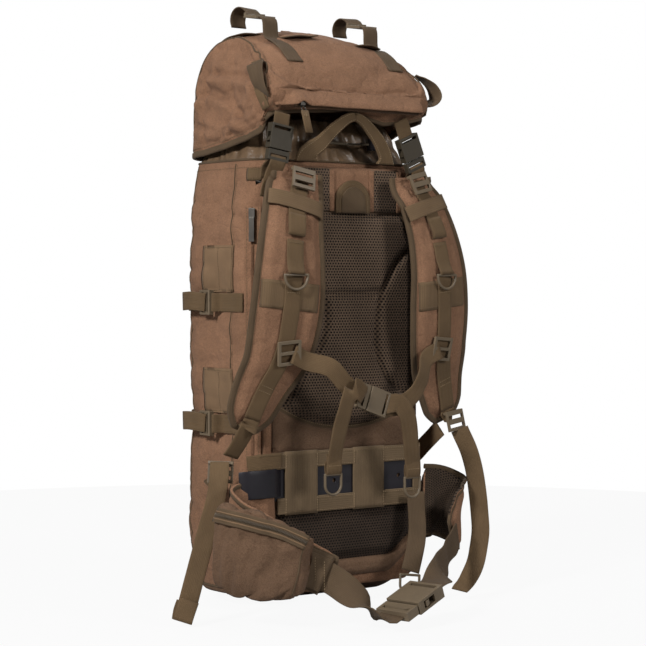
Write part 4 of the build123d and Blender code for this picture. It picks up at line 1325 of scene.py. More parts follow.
for (cx, cz) in ((-69.0, 190.0), (66.0, 178.0)):
    strap(chest, [(cx, -164.6, cz + 24), (cx, -165.4, cz + 12), (cx, -165.6, cz + 2), (cx, -163.2, cz - 4.6), (cx, -160.9, cz + 1), (cx, -161.4, cz + 14)],
          (1, 0, 0), 25, 1.7, step=3)
    stitch_run(chest, line_of((cx - 10, -166.4, cz + 8), (cx + 10, -166.4, cz + 8)), (0, -1, 0), 1)
chest.build("chest_webbing", [WEBBING, THREAD_LIGHT], "harness", "webbing", ["sternum_straps"])

# ---------------------------------------------------------------- haul handle
handle = Soft()
for s, foot_x, foot_w in ((-1, 72, 40), (1, 62, 32)):
    pts = [(s * foot_x, -109.5, 597), (s * foot_x, -110.5, 603), (s * 52, -114, 621), (s * 30, -118, 642),
           (s * 9, -120.5, 656), (0, -121, 658.8)]
    inward = [(-s, 0, 0), (-s, 0, -0.1), (-0.85 * s, 0, -0.6), (-0.65 * s, 0, -0.85), (-0.4 * s, 0, -1), (0, 0, -1)]
    rows = spline_rows(np.hstack([np.array(pts, float), unit(inward), np.array([[foot_w], [foot_w - 6], [22], [18], [14], [13]]) / 20.0]), 4.0)
    sweep(handle, rows[:, :3], rows[:, 3:6], flat_section(20, 4.2, 6), 0, scale=rows[:, 6])
    side = unit(rows[:, 3:6])
    for w in (-1, 1):
        run = rows[:, :3] + side * (w * (rows[:, 6] * 10 - 2.4))[:, None] + np.array([0, -2.3, 0])
        stitch_run(handle, run, (0, -1, 0), 1)
handle.build("handle_webbing", [WEBBING, THREAD_LIGHT], "haul_handle", "webbing", ["haul_handle"])

# ---------------------------------------------------------------- straps at the pad tips and the bag corners
load = Soft()
tail = [(182, -128, 232), (190, -140, 200), (197, -150, 140), (194, -158, 84), (173, -165, 38), (144, -171, 15)]
strap(load, tail, [(0.8, -0.6, 0)] * 3 + [(0.85, -0.55, 0.05), (0.85, -0.5, 0.1), (0.8, -0.5, 0.3)], 25, 1.8, wave=5.0, seed=5)
strap(load, [(-172, -118, 252), (-179, -108, 230), (-186, -97, 211)], pad_across(-1.0), 25, 1.8)
for name, s in SIDES.items():
    pad = pads[name]
    strap(load, [pad.at(262, PAD_T / 2 + 2), pad.at(252, PAD_T / 2 + 1.5), (s * 176, -119 if s > 0 else -119, 247)], pad_across(s), 25, 1.8)
load.build("pad_tip_webbing", [WEBBING, THREAD], "harness", "webbing", ["load_straps"])

low = Soft()
strap(low, [(-190.5, -78, 180), (-184, -64, 171), (-174, -48, 166), (-160, -30, 163), (-151, -16, 162)], (0, 0, 1), 25, 1.8, wave=2.0, seed=6)
strap(low, [(172, -98, 232), (168, -78, 214), (163, -54, 192), (156, -26, 174), (151, -10, 168)], (0, 0.3, 1), 25, 1.8, wave=2.0, seed=7)
tail = [(-194, -84, 204), (-199, -90, 184), (-212, -98, 150), (-226, -103, 120), (-238, -106, 92), (-250, -108, 60), (-258, -107.5, 34), (-266, -105, 8)]
strap(low, tail, (0.8, -0.6, 0), 25, 1.8, wave=3.0, seed=8)
strap(low, [(-258.6, -110.0, 34), (-264, -109.2, 20), (-268.4, -108.2, 7)], (0.8, -0.6, 0), 25, 1.8)
strap(low, [(-266, -103, 9), (-262.5, -101.2, 20), (-259, -102.6, 30)], (0.8, -0.6, 0), 25, 1.8)
for s in (-1, 1):
    tri = np.array([(s * 149.5, -24, 148), (s * 149.5, 16, 168), (s * 149.5, -24, 188)])
    rows = []
    for t in np.linspace(0, 1, 9):
        half = 20 * (1 - t) + 1.5
        x = s * 149.6
        rows.append([(x + s * b, -24 + 40 * t, 168 + a) for a, b in flat_section(2 * half, 2.4, 6)])
    low.grid(np.array(rows), wrap=True, caps=True, flip=s > 0, slot=0)
low.build("lower_webbing", [WEBBING, THREAD], "pack", "webbing", ["lower_straps"])

# ---------------------------------------------------------------- side tapes, compression straps, side zip
tapes = Soft()
for s in (-1, 1):
    d = (-s, 0, 0)
    for z0, z1 in ((424, 486), (262, 322)):
        top, n = patch(tapes, bag_skin, (s * 150, -48, z0), (0, 72, 0), (0, 0, z1 - z0), d, 1.4, 0.1, step=6)
        for y in (-44, -14, 18):
            run, nn = bag_skin.ray(line_of((s * 150, y, z0 + 2), (s * 150, y, z1 - 2)), d, 1.75)
            stitch_run(tapes, run, nn, 1)
        for z in (z0 + 3, z1 - 3):
            run, nn = bag_skin.ray(line_of((s * 150, -46, z), (s * 150, 22, z)), d, 1.75)
            stitch_run(tapes, run, nn, 1)
for z in (110, 160, 210):
    strap(tapes, [(-68, 146.4, z + 12.5), (-34, 146.8, z + 12.5), (34, 146.8, z + 12.5), (68, 146.4, z + 12.5)], (0, 0, 1), 25, 1.8)
    for x in np.linspace(-64, 64, 6):
        stitch_run(tapes, line_of((x, 147.9, z + 2), (x, 147.9, z + 23)), (0, 1, 0), 1)
tapes.build("side_tapes", [TAPE, THREAD], "pack", "webbing", ["pals_webbing"])

squeeze = Soft()
for s in (-1, 1):
    for z in (410.0, 248.0):
        ys = [-68, -56, -42, -30, -22]
        line, _ = bag_skin.ray([(s * 152, y, z) for y in ys], (-s, 0.0 if True else 0, 0), 2.2)
        line = [tuple(p) for p in line] + [(s * 158.4, -13, z), (s * 158.6, -7, z)]
        strap(squeeze, line, (0, 0, 1), 25, 1.8, step=4)
        front, _ = bag_skin.ray([(s * 152, y, z) for y in (34, 48, 62)], (-s, 0, 0), 2.2)
        front_line = [(s * 157.5, 10, z), (s * 159.0, 20, z), *[tuple(p) for p in front]]
        corner = []
        for a in np.linspace(0.15, 1.35, 6):
            c = np.array([s * (BAG_HALF_W - FRONT_R), BAG_FRONT - FRONT_R, z])
            corner.append(tuple(c + np.array([s * math.cos(a), math.sin(a), 0]) * (FRONT_R + 1)))
        lay, _ = bag_skin.near(corner, 2.2)
        strap(squeeze, front_line + [tuple(p) for p in lay], (0, 0, 1), 25, 1.8, step=4)
        tail = [(s * 160.5, -2, z), (s * 162, 12, z + 1), (s * 163, 30, z + 2), (s * 160, 52, z + 1)]
        strap(squeeze, tail, (0, 0, 1), 25, 1.8, wave=2.0, seed=z + s)
squeeze.build("compression_webbing", [WEBBING, THREAD], "pack", "webbing", ["compression_straps"])

zipper = Soft()
ZIP_OUT = unit([-0.75, -0.66, 0])
ZIP_ACROSS = np.array([ZIP_OUT[1], -ZIP_OUT[0], 0])
corner = np.array([-(BAG_HALF_W - REAR_R), BAG_REAR + REAR_R, 0])


def zip_line(z0, z1, stand_off, shift=0.0, step=4.0):
    zs = np.arange(z0, z1, step * (1 if z1 > z0 else -1))
    return np.array([corner + ZIP_OUT * (REAR_R + stand_off) + ZIP_ACROSS * shift + np.array([0, 0, z]) for z in zs])


for shift in (-6.2, 6.2):
    sweep(zipper, zip_line(112, 538, 0.9, shift, 8), ZIP_ACROSS, flat_section(11, 1.4), 0)
    stitch_run(zipper, zip_line(114, 536, 1.8, shift * 1.25), ZIP_OUT, 1)


def coil(soft, line, outward, slot, pitch=1.7, wide=2.4, high=1.1):
    """Zip coil: a row of small rounded teeth along a line."""
    line = np.asarray(line, float)
    outward = np.broadcast_to(np.asarray(outward, float), line.shape)
    stitch_across(soft, line, outward, slot, pitch, 2 * wide, high)


def stitch_across(soft, line, normals, slot, pitch, length, radius):
    gaps = np.linalg.norm(np.diff(line, axis=0), axis=1)
    t = np.concatenate([[0.0], np.cumsum(gaps)])
    marks = np.arange(pitch / 2, t[-1], pitch)
    at = np.stack([np.interp(marks, t, line[:, k]) for k in range(3)], axis=1)
    up = unit(np.stack([np.interp(marks, t, normals[:, k]) for k in range(3)], axis=1))
    tangent = unit(np.stack([np.interp(marks, t, np.gradient(line, axis=0)[:, k]) for k in range(3)], axis=1))
    side = unit(np.cross(tangent, up))
    faces = [[0, 1, 2, 3], [7, 6, 5, 4], [0, 4, 5, 1], [1, 5, 6, 2], [2, 6, 7, 3], [3, 7, 4, 0]]
    for p, n, a, w in zip(at, up, tangent, side):
        half = pitch * 0.34
        low = [p - w * length / 2 - a * half, p + w * length / 2 - a * half,
               p + w * length / 2 + a * half, p - w * length / 2 + a * half]
        high = [q * 0.25 + p * 0.0 + (p + (q - p) * 0.8) * 0.75 + n * radius for q in low]
        low = [q - n * 0.4 for q in low]
        soft.add([*low, *high], [f[::-1] for f in faces], [[(0.0, 0.0)] * 4 for _ in faces], slot)


coil(zipper, zip_line(112, 520, 1.6), ZIP_OUT, 2)
zipper.build("side_zip_tape", [CORDURA, THREAD, CORDURA], "pack", "zip_tape", ["side_zip"])

# ---------------------------------------------------------------- lid seams, straps, zip
lid_trim = Soft()
for s, (line, n) in zip((-1, 1), end_lines):
    piping(lid_trim, line, 1.2, slot=1, sides=6)
    aside, aside_n = lid_skin.near(line - np.array([s * 4.5, 0, 0]) - n * 1.0, 0.3)
    stitch_run(lid_trim, aside, aside_n, 2)
line, n = lid_skin.near(row_line[0], 0.35)
stitch_run(lid_trim, line, n, 2)
line, n = lid_skin.ray([(-16, -170, z) for z in np.arange(670, 689, 1.5)], (0, 1, 0), 0.35)
stitch_run(lid_trim, line, n, 2)
hem_ring = lid_grid[0]
order = [k for k in range(LID_COLUMNS)]
hem_line = hem_ring[order]
inward = unit(np.array([0, 0, 0]) - hem_line * np.array([1, 1, 0]))
hem_closed = np.vstack([hem_line, hem_line[:2]])
across = np.tile(np.array([[0, 0, 1.0]]), (len(hem_closed), 1))
sweep(lid_trim, hem_closed + np.array([0, 0, 3.0]), across, flat_section(9, 4.6), 1)
run, n = lid_skin.near(hem_line + np.array([0, 0, 11.0]), 0.3)
stitch_run(lid_trim, run, n, 2)
lid_trim.build("lid_seams", [CORDURA, BINDING, THREAD], "lid", "cordura")

# Flap over the zip, sewn along the stitched row, with a notch where the slider parks.
flap_x = np.linspace(-126, 128, 104)
flap_top, _ = lid_skin.ray([(x, -170, 689.0) for x in flap_x], (0, 1, 0), 0.3)
flap_foot, _ = lid_skin.ray([(x, -170, 669.0) for x in flap_x], (0, 1, 0), 0.5)
flap_rows = []
for t in np.linspace(0, 1, 12):
    low_z = 667.5 + 1.6 * fnoise(np.stack([flap_x * 0.02, 0 * flap_x, 0 * flap_x], axis=1), (1, 1, 1), 4.0)
    low_z = low_z + 5.5 * np.exp(-((flap_x + 96) / 7.0) ** 2)
    free = ramp(np.abs(flap_x), 121, 106)
    out_y = -136.6 * free + flap_foot[:, 1] * (1 - free)
    arch = math.sin(t * math.pi / 2) ** 1.3
    y_row = flap_top[:, 1] * (1 - arch) + out_y * arch
    z_row = flap_top[:, 2] * (1 - t) + low_z * t
    flap_rows.append(np.column_stack([flap_x, y_row, z_row]))
flap_rows = np.array(flap_rows)
flap_rows[:, :, 1] -= 1.0 * fnoise(flap_rows, (0.03, 0.03, 0.06), 3.0) * np.linspace(0, 1, 12)[:, None]
flap = Soft()
flap.grid(flap_rows, flip=True)
flap_obj = flap.build("lid_zip_flap", [CORDURA], "lid", "cordura")
solidify(flap_obj, 1.6, 0.0)

lid_zip = Soft()
for z0, z1 in ((677.4, 681.6), (664.8, 668.2)):
    strap(lid_zip, [(-106, -128.0, (z0 + z1) / 2), (106, -128.0, (z0 + z1) / 2)], (0, 0, 1), z1 - z0 + 0.4, 1.6, smooth=False)
coil(lid_zip, line_of((-102, -127.6, 672.5), (102, -127.6, 672.5)), (0, -1, 0), 1, high=0.8)
sweep(lid_zip, line_of((-103, -126.0, 672.5), (103, -126.0, 672.5)), (0, 0, 1), flat_section(8.4, 1.6), 0)
lid_zip.build("lid_zip_tape", [CORDURA_PAINTED_SHADE, COIL], "lid", "zip_tape", ["lid_zip"])
puller = Soft()
up = unit([0, 0.33, 0.95])
centre = np.array([-96, -141.5, 648.0])
strap(puller, [centre - up * 18, centre, centre + up * 13], (1, 0, 0), 12, 2.4, smooth=False)
stitch_run(puller, [centre + up * t + np.array([0, -1.5, 0.3]) for t in (4, 6, 8, 10)], (0, -1, 0), 1, pitch=2)
stitch_run(puller, [centre + up * 6 + np.array([dx, -1.5, 0.3]) for dx in (-4, 0, 4)], (0, -1, 0), 1, pitch=2.5)
piping(puller, [centre + up * 12 + np.array([-3, 0, 0]), centre + up * 19 + np.array([-2.4, 2.4, 0]), centre + up * 20.5 + np.array([0, 3.0, 0]),
                centre + up * 19 + np.array([2.4, 2.4, 0]), centre + up * 12 + np.array([3, 0, 0])], 0.7, slot=2, step=1.5)
puller.build("lid_zip_puller", [WEBBING, THREAD_LIGHT, ZIP_METAL], "lid_zip_pull", "webbing", ["lid_zip_pull"])

tops = Soft()
for s in (-1, 1):
    # flat run from the rear seam to the lock, then the hump and the run to the front
    flat, _ = lid_skin.ray([(s * 86, y, 830) for y in (-104, -96, -86, -76, -64, -52)], (0, 0, -1), 1.3)
    ends = [tuple(p) for p in flat] + [(s * 87, -44, 790.5), (s * 88, -36, 793.2)]
    strap(tops, ends, (1, 0, 0), 25, 1.8, step=4)
    hump = [(s * 88, -16, 795.5), (s * 88, -10, 801), (s * 88, 0, 807.5), (s * 88, 12, 808.5), (s * 88, 22, 802),
            (s * 88, 25, 793), (s * 88, 22, 784)]
    strap(tops, hump, (1, 0, 0), 25, 1.8, step=3, wave=1.5, seed=20 + s)
    under, _ = lid_skin.ray([(s * 88, y, 830) for y in (-24, -8, 12, 36, 54, 66)], (0, 0, -1), 1.3)
    down = [(s * 88, 78, 752), (s * 88, 86, 735)]
    strap(tops, [tuple(p) for p in under] + [tuple(p) for p in lid_skin.near(down, 1.3)[0]], (1, 0, 0), 25, 1.8, step=4)
    # small loop at the side of the lid
    far = 1.0 if s > 0 else 0.45
    strap(tops, [(s * 137, -84, 724), (s * (137 + 9 * far), -90, 719), (s * (137 + 18 * far), -98, 708),
                 (s * (137 + 18 * far), -106, 692), (s * (137 + 9 * far), -106, 684), (s * 137, -101, 682)],
          (0, 1, 0.2), 25, 1.8, step=3)
    edge, _ = lid_skin.near([(s * 139, -82, 728), (s * 140, -90, 708), (s * 139, -102, 682), (s * 137, -108, 662)], 0.9)
    strap(tops, [tuple(p) for p in edge], (0.35 * s, 1, 0.3), 13, 2.2, slot=2, step=4)
# flat webbing pieces lying on the lid by the right-hand lock
for s, x0, x1, y in ((-1, -74, -20, -58), (1, 50, 84, -62)):
    line, _ = lid_skin.ray([(x, y + 0.1 * (x - x0), 830) for x in np.linspace(x0, x1, 8)], (0, 0, -1), 1.4)
    strap(tops, [tuple(p) for p in line], (0, 1, 0), 25, 1.8, step=4, wave=1.5, seed=31)
tops.build("lid_top_webbing", [WEBBING_PAINTED_SHADE, THREAD, WEBBING], "lid", "webbing", ["lid_top_straps"])

LID_BUCKLE = {"right": ((-127.0, -120.5, 608.0), (0.16, 0.0, 1.0)), "left": ((103.0, -120.5, 604.0), (-0.42, 0.0, 1.0))}
rear_web = Soft()
for name, (origin, along_b) in LID_BUCKLE.items():
    z_dir = unit(along_b)
    y_dir = unit(np.cross(z_dir, (1, 0, 0)))
    x_dir = np.cross(y_dir, z_dir)
    origin = np.array(origin)

    def to_frame(x, y, z):
        return tuple(origin + x_dir * x + y_dir * y + z_dir * z)

    top_z = 50 if name == "right" else 58
    strap(rear_web, [to_frame(0, 0.4, 29), to_frame(0, 0.2, 36), to_frame(0, 0.5, top_z)], tuple(x_dir), 25, 1.8, step=3)
    strap(rear_web, [to_frame(0, 0, -8), to_frame(0, 1, -13), to_frame(0, 8, -17), to_frame(0, 13.6, -22), to_frame(0, 14.4, -38)],
          tuple(x_dir), 25, 1.8, step=3)
    strap(rear_web, [to_frame(0, -2.0, -7), to_frame(0, -3.2, -16), to_frame(0, 2.5, -28), to_frame(0, 7.5, -44), to_frame(0, 9.0, -62)],
          tuple(x_dir), 25, 1.8, step=4)
rear_web.build("lid_buckle_webbing", [WEBBING, THREAD], "pack", "webbing", ["lid_rear_webbing"])

# ---------------------------------------------------------------- hip belt
root = Soft()
sweep(root, [(-116, -110.6, 175), (-132, -118.5, 175), (-150, -121.5, 175), (-168, -121, 175), (-186, -117, 174)],
      (0, 0, 1), flat_section(37, 1.6, 6), 0)
sweep(root, spline_rows([(-116, -114.2, 203), (-134, -115.5, 203), (-152, -113.5, 202), (-166, -106, 200)], 4), (0, 0, 1),
      flat_section(22, 2.0, 6), 1)
for dz in (-8.5, 8.5):
    stitch_run(root, spline_rows([(-116, -115.7, 203 + dz), (-134, -117.0, 203 + dz), (-152, -115.2, 202 + dz)], 3), (-0.1, -1, 0), 2)
root_obj = root.build("belt_plate_end", [BLACK, WEBBING, THREAD], slot="black_plastic")
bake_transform(root_obj)

WING = {
    "right": [(-128, -114, 134), (-166, -113, 131), (-196, -122, 124), (-206, -145, 112), (-194, -170, 98),
              (-168, -190, 86), (-140, -206, 76), (-114, -222, 70)],
    "left": [(128, -114, 134), (154, -112, 132), (170, -118, 124), (170, -134, 114), (156, -150, 102),
             (140, -160, 90)],
}
WING_HEIGHT = {"right": [100, 100, 100, 98, 92, 80, 62, 46], "left": [100, 100, 98, 94, 80, 60]}
WING_T = 12.0


def padded_run(soft, points, across, widths, thick, seams=(), slot_front=0, slot_back=1, flip=1, edge_t=3.4, count=26, seed=0.0, step=4.0):
    """Padded panel along a path with a thin bound rim; seams are fractions of the half width."""
    across = np.broadcast_to(np.asarray(across, float), (len(points), 3))
    rows = spline_rows(np.hstack([np.array(points, float), across, np.array(widths, float)[:, None]]), step)
    line, width = rows[:, :3], rows[:, 6]
    _, side, normal = frames_of(line, rows[:, 3:6])
    normal = normal * flip
    u = np.linspace(-1, 1, count + 1)
    total = len(line)
    out = []
    for i in range(total):
        from_end = min(i, total - 1 - i) * step
        shrink = 1.0 if from_end > 16 else 1 - 0.22 * (1 - from_end / 16) ** 2
        w = width[i] / 2 * shrink
        a = u * w
        d = np.minimum(w - np.abs(a), from_end + 1.5)
        half = edge_t / 2 + (thick / 2 - edge_t / 2) * ramp(d, 5, 17)
        for q in seams:
            half = half - (thick / 2 - 1.5) * 0.6 * np.exp(-((u - q) * w / 3.5) ** 2)
        p = line[i] + side[i] * a[:, None]
        wrinkle = (1.0 * ridges(p, (0.03, 0.03, 0.03), 4.0 + seed, 5) + 0.6 * fnoise(p, (0.05, 0.05, 0.05), seed)) * ramp(d, 6, 16)
        front = p + normal[i] * (half - 0.5 * wrinkle)[:, None]
        rear = p - normal[i] * half[:, None]
        out.append(np.vstack([front, rear[::-1]]))
    out = np.array(out)
    slots = np.full((total - 1, 2 * (count + 1)), slot_front, int)
    slots[:, count + 1:] = slot_back
    flat = np.zeros((total, 2 * (count + 1), 2))
    flat[:, :, 0] = (np.concatenate([u, u[::-1]]) * np.mean(widths) / 2)[None, :] * MM
    flat[:, :, 1] = np.arange(total)[:, None] * step * MM
    if flip < 0:
        out = out[:, ::-1]
        flat = flat[:, ::-1]
        slots = slots[:, ::-1]
    soft.grid_planar(out, flat, slots, caps_slot=slot_front)
    return line, side, normal, width


def rim_binding(soft, line, side, normal, width, inset, section, slot):
    reach = width / 2 - inset
    a = line - side * reach[:, None]
    b = line + side * reach[:, None]
    tip = np.array([a[-1] + (b[-1] - a[-1]) * k / 8 for k in range(1, 8)])
    outline = np.vstack([a, tip, b[::-1]])
    across = np.vstack([normal, np.repeat(normal[-1:], 7, axis=0), normal[::-1]])
    sweep(soft, outline, across, section, slot)


wings = Soft()
wing_bind = Soft()
for name, flip in (("right", 1), ("left", -1)):
    rows = padded_run(wings, WING[name], (0, 0, 1), WING_HEIGHT[name], WING_T, flip=flip, slot_front=0, slot_back=0 if name == "right" else 1,
                      seed=SIDES[name])
    rim_binding(wing_bind, rows[0], rows[1], rows[2], rows[3] * np.linspace(1, 0.86, len(rows[0])), 2.0, flat_section(5.0, 7.0, 4), 0)
WING_MESH = spacer_mesh("wing_mesh", (0.078, 0.053, 0.036), (0.012, 0.008, 0.006), 0.0032)
wing_obj = wings.build("belt_wing_pads", [CORDURA, WING_MESH], "hip_belt", "cordura", ["belt_wings"])
wing_bind.build("belt_wing_binding", [BINDING], "hip_belt", "webbing")

POUCH = {
    "right": [(-234, -134, 109), (-232, -160, 104), (-214, -190, 97), (-187, -213, 89), (-159, -229, 82)],
    "left": [(159, -80, 130), (175, -79, 128), (194, -80, 124)],
}
POUCH_HEIGHT = {"right": [102, 106, 104, 94, 76], "left": [80, 88, 78]}
POUCH_T = 30.0


def pouch(name, mat, body_name):
    soft = Soft()
    points = np.array(POUCH[name], float)
    heights = np.array(POUCH_HEIGHT[name], float)
    rows = spline_rows(np.hstack([points, heights[:, None]]), 3.5)
    line, high = rows[:, :3], rows[:, 3]
    _, side, normal = frames_of(line, (0, 0, 1))
    total = len(line)
    angle = np.linspace(0, 2 * math.pi, 64, endpoint=False)
    out = []
    for i in range(total):
        end = min(i, total - 1 - i) / (total - 1)
        swell = min(1.0, (end * 8.0) ** 0.5 + 0.12)
        c, s_ = np.cos(angle), np.sin(angle)
        a = np.sign(c) * np.abs(c) ** 0.62 * (high[i] / 2 + 2.5) * (0.88 + 0.12 * swell)
        b = np.sign(s_) * np.abs(s_) ** 0.72 * (POUCH_T / 2 + 1.5) * swell
        out.append(line[i] + side[i] * a[:, None] + normal[i] * b[:, None])
    out = np.array(out)
    centre = out.mean(axis=1, keepdims=True)
    away = unit(out - centre)
    fold = 3.6 * ridges(out, (0.020, 0.020, 0.014), 2.0, 6) + 2.4 * ridges(out, (0.045, 0.045, 0.022), 9.0, 5)
    lump = 3.0 * fnoise(out, (0.02, 0.02, 0.02), 7.0)
    out = out + away * (lump - fold)[:, :, None]
    soft.grid(out, wrap=True, caps=True, flip=True)
    obj = soft.build(body_name, [mat], "hip_belt", "cordura", [f"belt_pouch_{name}"])
    return obj, line, side, normal, high


pouch_obj, p_line, p_side, p_normal, p_high = pouch("right", CORDURA_PAINTED_SHADE, "belt_pouch_right_fabric")
pouch_skin = Surface(pouch_obj)
left_obj, *_ = pouch("left", CORDURA_PAINTED_SHADE, "belt_pouch_left_fabric")
pz = Soft()
outward = np.array([-0.75, -0.65, 0.1])
top_line = p_line + p_side * (p_high * 0.5 - 12.5)[:, None]
out_dir = unit(np.where((p_normal @ outward)[:, None] > 0, p_normal, -p_normal))
zip_pts = np.array([pouch_skin.ray([p], -o, 0.9, 60)[0][0] for p, o in zip(top_line[3:-3], out_dir[3:-3])])
zip_nrm = np.array([pouch_skin.ray([p], -o, 0.0, 60)[1][0] for p, o in zip(top_line[3:-3], out_dir[3:-3])])
inner = p_line - out_dir * 16.5
still = [inner + p_side * (q * p_high[:, None] * 0.42) for q in (-1, -0.6, -0.2, 0.2, 0.6, 1)]
end_seam = np.array([pouch_skin.near([p_line[-5] + p_side[-5] * a * p_high[-5] * 0.5 + out_dir[-5] * 14], 0.3)[0][0]
                     for a in np.linspace(0.92, -0.92, 40)])
inflate(pouch_obj, held(pouch_obj, np.vstack([zip_pts, end_seam, *still]), 7.0), pressure=1.5, frames=16, cap=8.0,
        swell=0.05, bending=0.3, gravity=0.6)
pouch_skin = Surface(pouch_obj)
zip_nrm = unit(zip_nrm + np.roll(zip_nrm, 1, axis=0) + np.roll(zip_nrm, -1, axis=0) + 2.0 * zip_nrm.mean(axis=0))
zip_side = unit(np.cross(unit(np.gradient(zip_pts, axis=0)), zip_nrm))
sweep(pz, zip_pts + zip_nrm * 2.0, zip_side, flat_section(19, 1.6), 0)
for shift in (-4.6, 4.6):
    sweep(pz, zip_pts + zip_nrm * 2.9 + zip_side * shift, zip_side, flat_section(1.4, 0.8), 1)
coil(pz, zip_pts + zip_nrm * 3.0, zip_nrm, 2)
piping(pz, end_seam, 1.3, slot=0, sides=6)
pz.build("belt_pouch_zip", [BINDING, TAPE, COIL], "hip_belt", "zip_tape")

HIP_MALE, HIP_FEMALE, HIP_SIZE = np.array([-70.0, -285.0, 19.0]), np.array([8.0, -271.0, 48.0]), 1.55
hip_along = unit(HIP_FEMALE - HIP_MALE)
hip_origin = HIP_MALE + hip_along * 14 * HIP_SIZE
flat = (-0.17, 0.98, 0)
belt = Soft()
strap(belt, [(-150, -216, 76), (-136, -224, 70), (-122, -236, 60), (-106, -256, 42), tuple(hip_origin - hip_along * 21 * HIP_SIZE), tuple(hip_origin - hip_along * 13 * HIP_SIZE), tuple(hip_origin - hip_along * 8 * HIP_SIZE)],
      [(0, 0, 1), (0, 0.1, 1), (0.1, 0.25, 0.95), (0.0, 0.6, 0.8), flat, flat, flat], 38, 2.0, wave=1.5, seed=41)
strap(belt, [tuple(hip_origin + hip_along * 29 * HIP_SIZE), tuple(hip_origin + hip_along * 36 * HIP_SIZE), (48, -243, 58), (72, -218, 62), (96, -197, 68), (120, -180, 78), (146, -165, 90)],
      [flat, flat, (-0.15, 0.75, 0.6), (-0.1, 0.4, 0.9), (0, 0.1, 1), (0, 0, 1), (0, 0, 1)], 38, 2.0, wave=3.0, seed=42)
strap(belt, [(99, -131, 150), (97, -136, 122), (92, -143, 92), (80, -150, 66), (67, -158, 47)], (0.9, -0.4, 0), 25, 1.8, wave=2.0, seed=43)
# folded, sewn ends on the right wing
strap(belt, [(-176, -206, 88), (-162, -214, 82), (-146, -221, 75), (-132, -229, 67)], (0, 0.1, 1), 52, 3.0, slot=0)
strap(belt, [(-160, -217.5, 80.5), (-146, -224, 74), (-134, -231, 67)], (0, 0.15, 1), 44, 2.4, slot=0)
for q in (0.1, 0.5, 0.9):
    p0 = np.array([-160, -219.5, 81]) * (1 - q) + np.array([-134, -233, 67.5]) * q
    stitch_run(belt, line_of(p0 - np.array([0, 0, 19]), p0 + np.array([0, 0, 19])), (-0.45, -0.89, 0), 1)
belt.build("hip_webbing", [WEBBING_PAINTED_SHADE, THREAD_LIGHT], "hip_belt", "webbing", ["belt_webbing"])

# ---------------------------------------------------------------- front pocket
pocket = Soft()
rows = []
profile = spline_rows([(46.0, 74.0, 128.0, 12.0), (60.0, 79.0, 137.0, 15.0), (90.0, 83.0, 143.0, 16.0), (180, 84.0, 145.0, 17.0),
                       (270.0, 83.0, 143.0, 16.0), (310.0, 78.0, 134.0, 15.0), (330.0, 70.0, 125.0, 12.0)], 5.0)
for z, half_w, front, radius in profile:
    loop = loop_of([(half_w, 101.0), (half_w, front), (-half_w, front), (-half_w, 101.0)], [4, radius, radius, 4], 150)
    n = normals_2d(loop)
    p = np.column_stack([loop, np.full(150, z)])
    nn = np.column_stack([n, np.zeros(150)])
    free = ramp(loop[:, 1], 108, 130)
    flatten = ramp(np.abs(z - 172.0), 62, 90) * 0.8 + 0.2
    bump = (1.8 * fnoise(p, (0.015, 0.015, 0.02), 5.0) - 2.0 * ridges(p, (0.02, 0.02, 0.03), 6.0, 5)) * free * flatten
    rows.append(p + nn * bump[:, None])
rows = np.array(rows)
pocket.grid(rows, wrap=True, caps=True)
pocket_obj = pocket.build("front_pocket_fabric", [CORDURA], "pack", "cordura", ["front_pocket"])
pocket_skin = Surface(pocket_obj)
pt = Soft()
for level, inset in ((2, 0), (len(rows) - 4, 0)):
    piping(pt, np.vstack([rows[level][10:-10]]), 1.2, slot=1, sides=6)
zip_row = [(x, 200, 318.0) for x in np.linspace(-62, 62, 60)]
line, n = pocket_skin.ray(zip_row, (0, -1, 0), 0.8)
sweep(pt, line, (0, 0, 1), flat_section(18, 1.5), 1)
coil(pt, line + n * 0.8, n, 3)
for dz in (-6.5, 6.5):
    stitch_run(pt, line + n * 0.9 + np.array([0, 0, dz]), n, 2)
pt.build("front_pocket_trim", [CORDURA, BINDING, THREAD, COIL], "pack", "cordura")

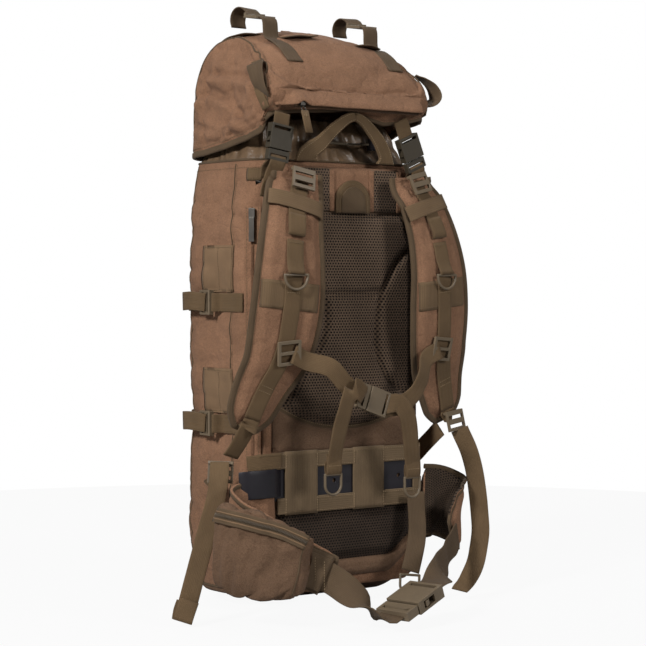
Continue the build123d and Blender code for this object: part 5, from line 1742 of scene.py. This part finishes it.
# ---------------------------------------------------------------- CAD hardware keeps its shape and gets its material; the lid buckles get plastic darkened as painted shade
FINISH = {
    "black_plastic": BLACK, "buckle_plastic": PLASTIC, "zip_metal": ZIP_METAL, "stay_aluminium": ALUMINIUM,
}
MATERIAL_OF = {
    "frame_sheet": BLACK, "lumbar_plate": BLACK, "cord_lock": BLACK, "cord_lock_button": BLACK,
    "frame_stays": ALUMINIUM, "side_zip_slider": ZIP_METAL, "lid_zip_slider": ZIP_METAL,
}
for name, node in NODES.items():
    if node.hide_render:
        continue
    # The lid buckles take the buckle plastic darkened as painted shade.
    finish = MATERIAL_OF.get(name, PLASTIC_PAINTED_SHADE if name.startswith("lid_buckle") else PLASTIC)
    node.data.materials.clear()
    node.data.materials.append(finish)
    merge = node.modifiers.new("merge", "WELD")
    merge.merge_threshold = 0.00002
    bevel = node.modifiers.new("round", "BEVEL")
    bevel.width = 0.0005 if name not in ("lumbar_plate", "frame_sheet", "frame_stays") else 0.0003
    bevel.segments = 2
    bevel.limit_method = "ANGLE"
    bevel.angle_limit = math.radians(35)
    bevel.harden_normals = False

# ---------------------------------------------------------------- floor, finish
floor_mesh = bpy.data.meshes.new("floor")
rim = [(1.5 * math.cos(k * math.pi / 48), 1.5 * math.sin(k * math.pi / 48), 0) for k in range(96)]
floor_mesh.from_pydata(rim, [], [tuple(range(96))])
floor = bpy.data.objects.new("floor", floor_mesh)
bpy.context.scene.collection.objects.link(floor)
floor_mat = bpy.data.materials.new("floor")
floor_mat.use_nodes = True
tree = floor_mat.node_tree
tree.nodes["Principled BSDF"].inputs["Base Color"].default_value = (0.40, 0.40, 0.40, 1)
tree.nodes["Principled BSDF"].inputs["Roughness"].default_value = 0.9
pale = tree.nodes.new("ShaderNodeEmission")
pale.inputs["Color"].default_value = (1.0, 1.0, 1.0, 1)
ray = tree.nodes.new("ShaderNodeLightPath")
part = tree.nodes.new("ShaderNodeMath")
part.operation = "MULTIPLY"
part.inputs[1].default_value = 0.93
both = tree.nodes.new("ShaderNodeMixShader")
tree.links.new(ray.outputs["Is Camera Ray"], part.inputs[0])
tree.links.new(part.outputs[0], both.inputs["Fac"])
tree.links.new(tree.nodes["Principled BSDF"].outputs["BSDF"], both.inputs[1])
tree.links.new(pale.outputs["Emission"], both.inputs[2])
tree.links.new(both.outputs["Shader"], tree.nodes["Material Output"].inputs["Surface"])
floor_mesh.materials.append(floor_mat)

# The soft bottom rises towards the back.
for name in ("bag_body", "bottom_panel", "bag_seams"):
    data = bpy.data.objects[name].data
    for v in data.vertices:
        rise = 0.028 * float(ramp(v.co.y, 0.0, -0.08)) + 0.016 * float(ramp(v.co.x, -0.05, -0.13))
        v.co.z += rise * float(ramp(v.co.z, 0.09, 0.0))
    data.update()
